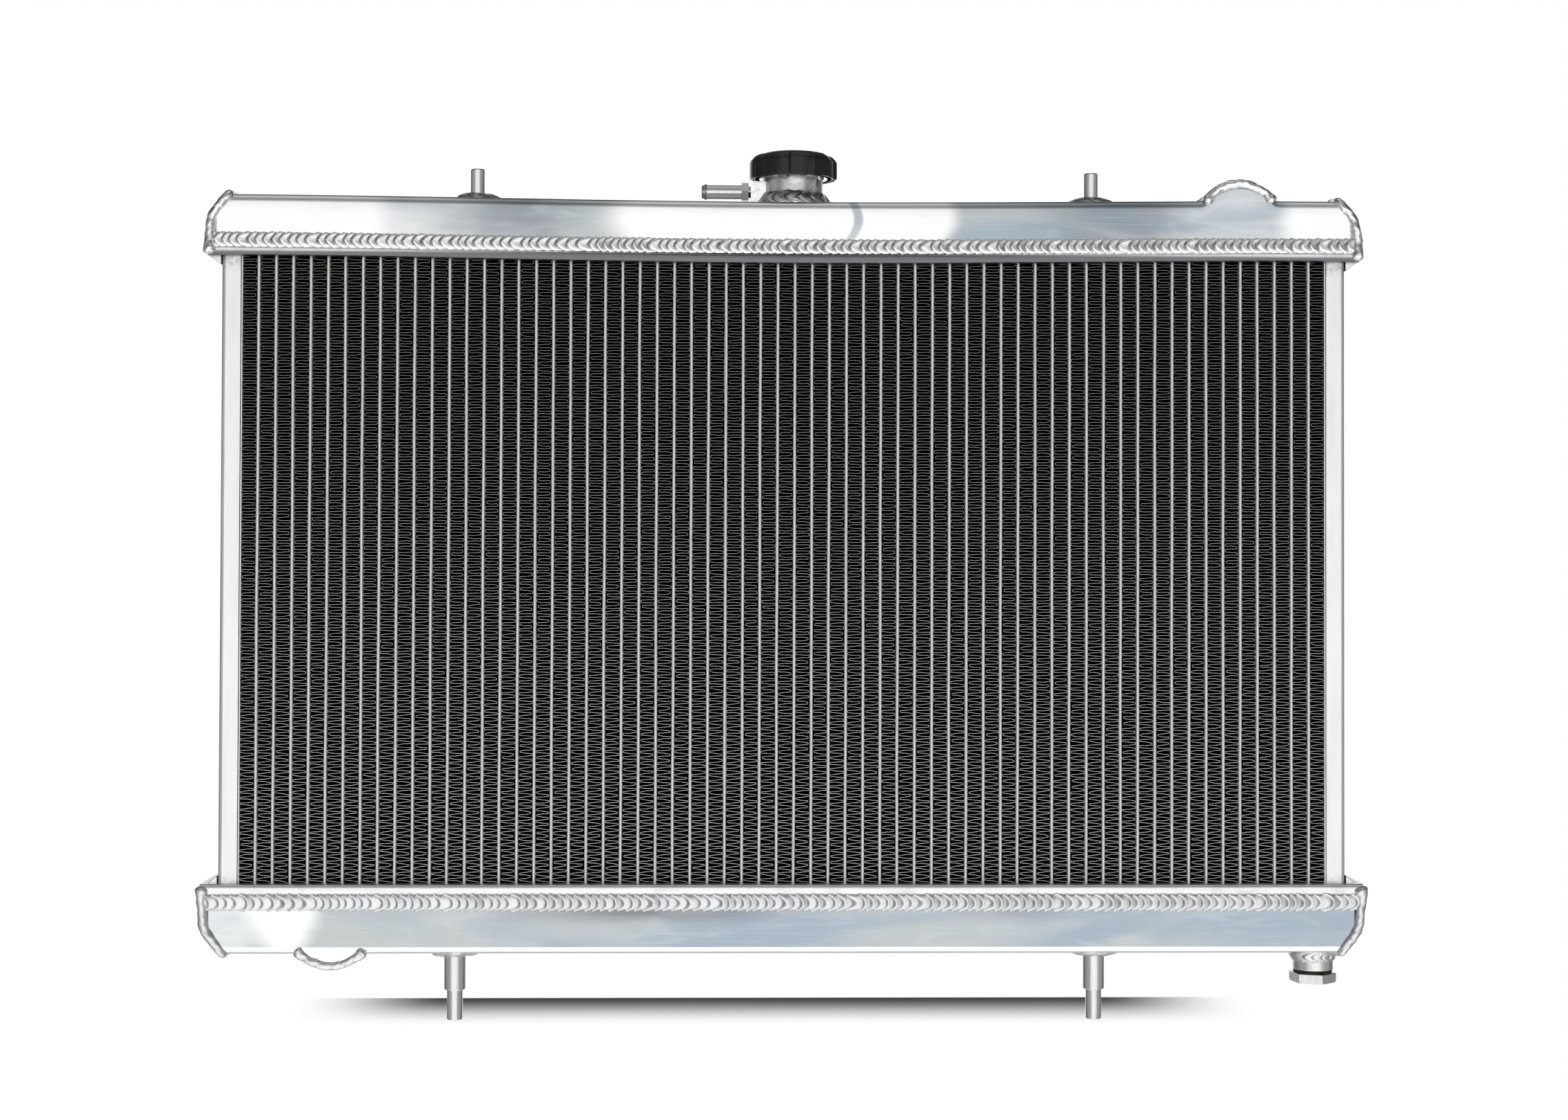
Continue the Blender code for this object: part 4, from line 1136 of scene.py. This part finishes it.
def long_seam(name, tank, front):
    """A straight bead along X, on the lip of the header, against the tank's face."""
    header_low, header_high = span(f"{name}_header")
    lip = header_high[2] if tank["up"] > 0 else header_low[2]
    half = header_high[0] - 2.5
    x = np.arange(-half, half, 0.36)
    place = x / SEAM_PITCH + 0.55 * wobble(x / 37, front + 4 * tank["up"])
    place += 0.2 * wobble(x / 6.3, 7 + front)
    low = (header_high[1] - 0.3, lip - 0.3 * tank["up"])
    high = (TANK_HIGH_Y + tank["stand"], lip + tank["bead"] * tank["up"])
    bow = 0.75 * tank["up"]
    seed = 2 + front + tank["up"]
    section, groove = bead_section(place, low, high, tank["bulge"], SEAM_RIPPLE, bow, seed)
    if tank["up"] < 0:
        section = np.array(low) + np.array(high) - section
        section = section[:, ::-1]
        groove = groove[:, ::-1]
    grid = np.empty((*section.shape[:2], 3))
    grid[..., 0] = x[:, None]
    grid[..., 1] = front * section[..., 0]
    grid[..., 2] = section[..., 1] - sag(name, x)[:, None]
    side = "front" if front < 0 else "back"
    ringed_piece(
        f"{name}_seam_weld_{side}",
        grid,
        tank["weld"],
        "radiator",
        "satin_aluminium",
        groove=groove,
        sharp=70,
    )


for tank_name, tank in TANKS.items():
    for front in (-1, 1):
        long_seam(tank_name, tank, front)


# %% Ring welds round the neck, pins, pipes and drain
def ring_weld(name, centre, axis, foot, top, count, ripple, material, bow=0.8, seed=1, bulge=0.6):
    """A bead round an axis, from a foot (radius, height) up to a top (radius, height)."""
    steps = count * 14
    angle = FULL_TURN * np.arange(steps) / steps
    place = count * angle / FULL_TURN + 0.35 * wobble(angle, seed)
    section, groove = bead_section(place, foot, top, bulge, ripple, bow, seed, count)
    out, height = section[..., 0], section[..., 1]
    turn = angle[:, None]
    parts = AXES[axis](out * np.cos(turn), out * np.sin(turn), height)
    grid = np.stack(parts, axis=-1) + np.array(centre)
    return ringed_piece(
        name,
        grid,
        material,
        "radiator",
        "satin_aluminium",
        round_rows=True,
        groove=groove,
        sharp=70,
    )


NECK_FOOT = (NECK_X, 0, TANK_TOP)
ring_weld("neck_weld", NECK_FOOT, "Z", (23.2, -2.7), (17.5, 5.6), 17, 1.4, TOP_WELD, 0.9, 3)
for tank_name, tank in TANKS.items():
    centre = pipe_centre(tank)
    centre[1] = TANK_HIGH_Y
    foot, top = (21.6, -0.3), (17.3, 4.0)
    ring_weld(f"{tank['pipe']}_weld", centre, "Y", foot, top, 24, 0.9, tank["weld"], 0.8, 5)


# %% [markdown]
# ## Molten corners
#
# Where a seam turns a corner the welder lingers, and the metal runs smooth and thick. The beads
# over the tank ends and round the humps are soft cords of metal: a circle carried along a route,
# whose radius swells where the route stops and wavers elsewhere. The circle is turned by the
# direction away from the tank's middle, so it never twists.


# %% Cords of weld metal
def swept(route, radius, middle):
    """Circles along a route, turned by the direction away from a middle point."""
    along = np.gradient(route, axis=0)
    along /= np.linalg.norm(along, axis=1, keepdims=True)
    out = route - np.array(middle)
    out -= (out * along).sum(axis=1, keepdims=True) * along
    out /= np.linalg.norm(out, axis=1, keepdims=True)
    beside = np.cross(along, out)
    angle = FULL_TURN * np.arange(radius.shape[1]) / radius.shape[1]
    cos, sin = np.cos(angle)[None, :, None], np.sin(angle)[None, :, None]
    return route[:, None] + radius[..., None] * (cos * out[:, None] + sin * beside[:, None])


def molten_cord(name, corners, middle, radius, knob, material, seed, pitch=6.0, sides=16):
    """A cord of weld metal that swells to a knob at both ends of its route."""
    route, at = eased(corners, 0.45)
    ends = np.minimum(at, at[-1] - at)
    swell = radius + (knob - radius) * np.exp(-((ends / 4.2) ** 2))
    tip = np.sqrt(np.clip(1 - (1 - np.clip(ends / (knob * 0.9), 0, 1)) ** 2, 0.0004, 1))
    angle = FULL_TURN * np.arange(sides) / sides
    place = at / pitch + 0.5 * wobble(at / 11, seed)
    height, groove = puddles(place[:, None], np.sin(angle)[None, :], 0.7, seed)
    uneven = 0.13 * wobble(at[:, None] / 5.5 + np.sin(angle), seed + 1)
    size = (swell * tip)[:, None] * (1 + uneven + 0.13 * (height - 0.4))
    grid = swept(route, size, middle)
    options = {"groove": groove * 0.4, "sharp": 70}
    return ringed_piece(name, grid, material, "radiator", "satin_aluminium", **options)


def end_weld(name, tank, side):
    """Up the front edge of the end, over the top and down the back edge."""
    header_low, header_high = span(f"{name}_header")
    half, up, level = header_high[0], tank["up"], tank["level"]
    lip = header_high[2] if up > 0 else header_low[2]
    run, drop = tank["slope"]
    y = TANK_HIGH_Y
    climb = [
        (half - 2.0, y + 1.8, lip - up * 5.0),
        (half - 0.8, y + 1.6, lip + up * 0.5),
        (half - 1.2, y + 0.6, lip + up * 6),
        (half - 2.0, y - 0.2, level - up * (drop + 0.6)),
        (half - run - 0.8, y - 0.8, level - up * 1.8),
        (half - run - 1.4, y - 4.0, level + up * 0.1),
    ]
    front = [(side * x, -depth, z) for x, depth, z in climb]
    back = [(side * x, depth, z) for x, depth, z in climb[::-1]]
    middle = (side * (half - 40), 0, (lip + level) / 2)
    where = "left" if side < 0 else "right"
    corners = front + back
    seed = 11 + side + 3 * up
    molten_cord(f"{name}_end_weld_{where}", corners, middle, 2.8, tank["knob"], tank["weld"], seed)


def hump_weld(name, tank, front):
    """Along the crest of the hump's edge, with a knob of metal at each foot."""
    centre = pipe_centre(tank)
    half_length = span(f"{name}_header")[1][0]
    from_centre = np.linspace(-20.5, 20.0, 13)
    rise = tank_rise(tank, centre[0] + from_centre, half_length)
    z = tank["level"] + tank["up"] * (rise - 1.5)
    z[[0, -1]] -= tank["up"] * 1.6
    depth = front * (TANK_HIGH_Y - 0.9)
    corners = [(centre[0] + dx, depth, level) for dx, level in zip(from_centre, z)]
    middle = (centre[0], 0, centre[2])
    where = "front" if front < 0 else "back"
    seed = 31 + tank["up"] + front
    molten_cord(f"{name}_hump_weld_{where}", corners, middle, 2.5, 4.0, tank["weld"], seed)


for tank_name, tank in TANKS.items():
    for side in (-1, 1):
        end_weld(tank_name, tank, side)
        hump_weld(tank_name, tank, side)


# %% [markdown]
# ## Pins, pipes and drain
#
# Round parts come from a lathe, so they are profiles turned about an axis, with every corner a
# little rounded. A pin stands in a low mound of weld metal, which is a ring weld with a wide foot.

# %% Pins
TOP_PIN = {"radius": 4.15, "pad": 15.5, "height": 3.0}
LOWER_PIN = {"radius": 4.65, "shoulder": 6.3, "pad": 17.0, "height": 3.0}


def pin_centre(node, level):
    """The pin's axis at this level."""
    low, high = span(node)
    return ((low[0] + high[0]) / 2, (low[1] + high[1]) / 2, level)


for side in ("left", "right"):
    node = f"top_pin_{side}"
    at = pin_centre(node, TANK_TOP)
    rise = span(node)[1][2] - TANK_TOP
    r = TOP_PIN["radius"]
    profile = rounded([(0.02, rise), (r, rise), (r, -1.6), (0.02, -1.6)], 0.9)
    pin = turned(profile, at)
    pin = ringed_piece(
        f"{node}_turned", pin, PIN_METAL, "radiator", "satin_aluminium", nodes=(node,)
    )
    even_shading(pin)
    foot, top = (TOP_PIN["pad"], -0.2 - sag("top", at[0])), (r - 0.1, TOP_PIN["height"])
    # The mound takes the darker weld copy, which is painted shade.
    ring_weld(f"{node}_mound", at, "Z", foot, top, 9, 0.8, SHADED_MOUND_WELD, 0.9, len(side), 1.2)

    node = f"lower_pin_{side}"
    at = pin_centre(node, TANK_BOTTOM)
    drop = TANK_BOTTOM - span(node)[0][2]
    r, shoulder = LOWER_PIN["radius"], LOWER_PIN["shoulder"]
    profile = rounded(
        [
            (0.02, drop),
            (r, drop),
            (r, TANK_BOTTOM),
            (shoulder, TANK_BOTTOM),
            (shoulder, 0.2),
            (0.02, 0.2),
        ],
        0.8,
    )
    pin = turned(profile, at, "-Z")
    pin = ringed_piece(
        f"{node}_turned", pin, PIN_METAL, "radiator", "satin_aluminium", nodes=(node,)
    )
    even_shading(pin)
    foot, top = (LOWER_PIN["pad"], -0.2), (shoulder - 0.1, LOWER_PIN["height"])
    ring_weld(f"{node}_mound", at, "-Z", foot, top, 9, 0.8, BOTTOM_WELD, 0.9, len(side), 1.2)

# %% Hose pipes
PIPE = {"radius": 17.5, "wall": 2.0, "bead": 1.4}


def pipe_profile(start, end):
    """Bore, mouth, rolled bead and outer wall, as a closed loop of (radius, height)."""
    outer, bead, bore = PIPE["radius"], PIPE["bead"], PIPE["radius"] - PIPE["wall"]
    swell = np.linspace(0, math.pi, 15)
    roll = np.stack([outer + bead * np.sin(swell) ** 2, end - 3 - 4.5 * swell / math.pi], axis=-1)
    mouth = rounded([(bore, end - 6), (bore, end), (outer, end), (outer, end - 2.6)], 0.7)
    return np.concatenate([[(outer, start), (bore, start)], mouth, roll])


for tank in TANKS.values():
    low, high = span(tank["pipe"])
    at = pipe_centre(tank) * (1, 0, 1)
    grid = turned(pipe_profile(low[1], high[1]), at, "Y", 96)
    ringed_piece(
        f"{tank['pipe']}_drawn",
        grid,
        PIPE_METAL,
        "radiator",
        "satin_aluminium",
        round_rows=True,
        nodes=(tank["pipe"],),
    )

# %% Drain boss
BOSS_RADIUS = 11.8
BOSS_BORE = 7.1
boss_low, boss_high = span("drain_boss")
boss_at = ((boss_low[0] + boss_high[0]) / 2, (boss_low[1] + boss_high[1]) / 2, TANK_BOTTOM)
boss_drop = TANK_BOTTOM - boss_low[2]
boss_profile = rounded(
    [
        (BOSS_BORE, 6),
        (BOSS_BORE, 0.3),
        (BOSS_RADIUS + 1, 0.3),
        (BOSS_RADIUS, 3),
        (BOSS_RADIUS, boss_drop),
        (BOSS_BORE, boss_drop),
        (BOSS_BORE, 6.5),
    ],
    0.6,
)
boss = turned(boss_profile, boss_at, "-Z", 96)
ringed_piece(
    "drain_boss_turned",
    boss,
    SATIN,
    "radiator",
    "satin_aluminium",
    round_rows=True,
    nodes=("drain_boss",),
)
ring_weld(
    "drain_weld", boss_at, "-Z", (14.6, -0.2), (11.5, 7.0), 15, 1.0, BOTTOM_WELD, 1.6, 9, 0.3
)

# %% [markdown]
# ## Cap
#
# The cap is moulded plastic with six shallow thumb recesses, so that a hand can turn it. Every
# ring of its profile is a circle, less the recess where the profile says so, and the recess fades
# out over the crown. The underside is hollow, because the valve and the sprung shell sit in it.

# %% Cap cover
GRIP_COUNT = 6
GRIP_TURN = math.radians(-81.6)
COVER_WALL = 24.4
COVER_CEILING = 5.2


def cover_grid(sides=288):
    """Rings of (radius, height, recess): underside, wall, rim, side, shoulder and crown."""
    low, high = span("cap_cover")
    outer = (high[0] - low[0]) / 2
    bottom, top = low[2] - NECK_TOP, high[2] - NECK_TOP
    inside = [(0.02, COVER_CEILING, 0), (COVER_WALL, COVER_CEILING, 0), (COVER_WALL, bottom, 0)]
    outside = [
        (outer, bottom, 1.6),
        (outer, top - 5.2, 1.8),
        (outer - 2.8, top - 2.0, 1.8),
        (outer - 7.5, top - 0.5, 0.3),
        (outer - 14, top, 0),
        (0.02, top, 0),
    ]
    profile = np.concatenate([inside, rounded([inside[-1], *outside], 1.5, 6)])
    angle = FULL_TURN * np.arange(sides) / sides
    wave = np.cos(GRIP_COUNT * (angle - GRIP_TURN))
    recess = smooth(np.clip(0.5 + 2.0 * wave, 0, 1))
    out = profile[:, :1] - profile[:, 2:] * recess
    grid = np.stack([out * np.cos(angle), out * np.sin(angle), profile[:, 1:2] + 0 * angle], -1)
    return grid + np.array((NECK_X, 0, NECK_TOP))


ringed_piece(
    "cap_cover_moulded",
    cover_grid(),
    CAP_PLASTIC,
    "cap",
    "black_plastic",
    nodes=("cap_cover",),
    sharp=45,
)

# %% [markdown]
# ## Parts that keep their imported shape
#
# The remaining parts are already right: plates, tabs, the neck and the valve inside the cap. Their
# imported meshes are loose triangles, so a copy is merged, its flat faces are joined, and smooth
# shading takes over wherever two faces meet at a small angle. A narrow bevel catches the light
# along the edges of parts that were sawn or stamped.


# %% Merged copies
def finished_copy(node, material, slot, bevel=0.0, sharp=35):
    """The node's mesh with its points merged, shaded smooth, as a piece on the same body."""
    source = frame["nodes"][node]
    mesh = source.data.copy()
    mesh.name = f"{node}_finished"
    bm = bmesh.new()
    bm.from_mesh(mesh)
    bmesh.ops.remove_doubles(bm, verts=bm.verts, dist=2e-6)
    flat = math.radians(0.4)
    bmesh.ops.dissolve_limit(bm, angle_limit=flat, verts=bm.verts, edges=bm.edges)
    bm.to_mesh(mesh)
    bm.free()
    piece = link_piece(mesh.name, mesh, material, source["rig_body"], slot, (node,), sharp)
    if bevel:
        edge = piece.modifiers.new("edge", "BEVEL")
        edge.width = bevel * MM
        edge.segments = 3
        edge.limit_method = "ANGLE"
        edge.angle_limit = math.radians(40)
        edge.use_clamp_overlap = True
    return even_shading(piece)


for side in ("left", "right"):
    finished_copy(f"side_plate_{side}", SIDE_METAL, "satin_aluminium", 0.3)
    finished_copy(f"side_strip_{side}", TUBE_METAL, "core_aluminium", 0.15)
    for tank_name in TANKS:
        finished_copy(f"{tank_name}_tank_end_{side}", SATIN, "satin_aluminium", 0.4)
        finished_copy(f"corner_gusset_{tank_name}_{side}", SATIN, "satin_aluminium", 0.4)

finished_copy("filler_neck", NECK_METAL, "satin_aluminium")
finished_copy("overflow_fitting", PIN_METAL, "satin_aluminium")
finished_copy("drain_plug", SATIN, "satin_aluminium", 0.35)
finished_copy("drain_seal", RUBBER, "black_rubber", 0.2)
finished_copy("cap_shell", SHADED_SHELL_STEEL, "spring_steel")
finished_copy("cap_gasket", RUBBER, "black_rubber", 0.15)
finished_copy("cap_stem", BRASS, "valve_brass")
finished_copy("pressure_plate", STEEL, "spring_steel")
finished_copy("pressure_seal", RUBBER, "black_rubber", 0.3)
finished_copy("vacuum_valve", BRASS, "valve_brass")

# %% [markdown]
# ## Springs
#
# The two springs in the cap get merged copies of their own. The valve's travel and the share of
# length that would be left at the joint's limit are worked out, but the springs are not shortened.


# %% Springs
def squeezed_spring(node, joint):
    """A merged copy of the spring with its own mesh; the valve's travel and the share of length kept at the
    joint's limit are worked out but not used.
    """
    low, high = span(node)
    travel = next(j for j in frame["joints"] if j["name"] == joint)["range_m"][1] / MM
    spring = finished_copy(node, STEEL, "spring_steel", sharp=60)
    keep = 1 - travel / (high[2] - low[2])
    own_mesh(spring)


squeezed_spring("pressure_spring", "pressure_valve_lift")
squeezed_spring("vacuum_spring", "vacuum_valve_drop")

# %% [markdown]
# ## Size
#
# The finished model has to fill the same room as the imported one, so the box round the finished
# pieces is measured.

# %% Measure the size
low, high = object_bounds()
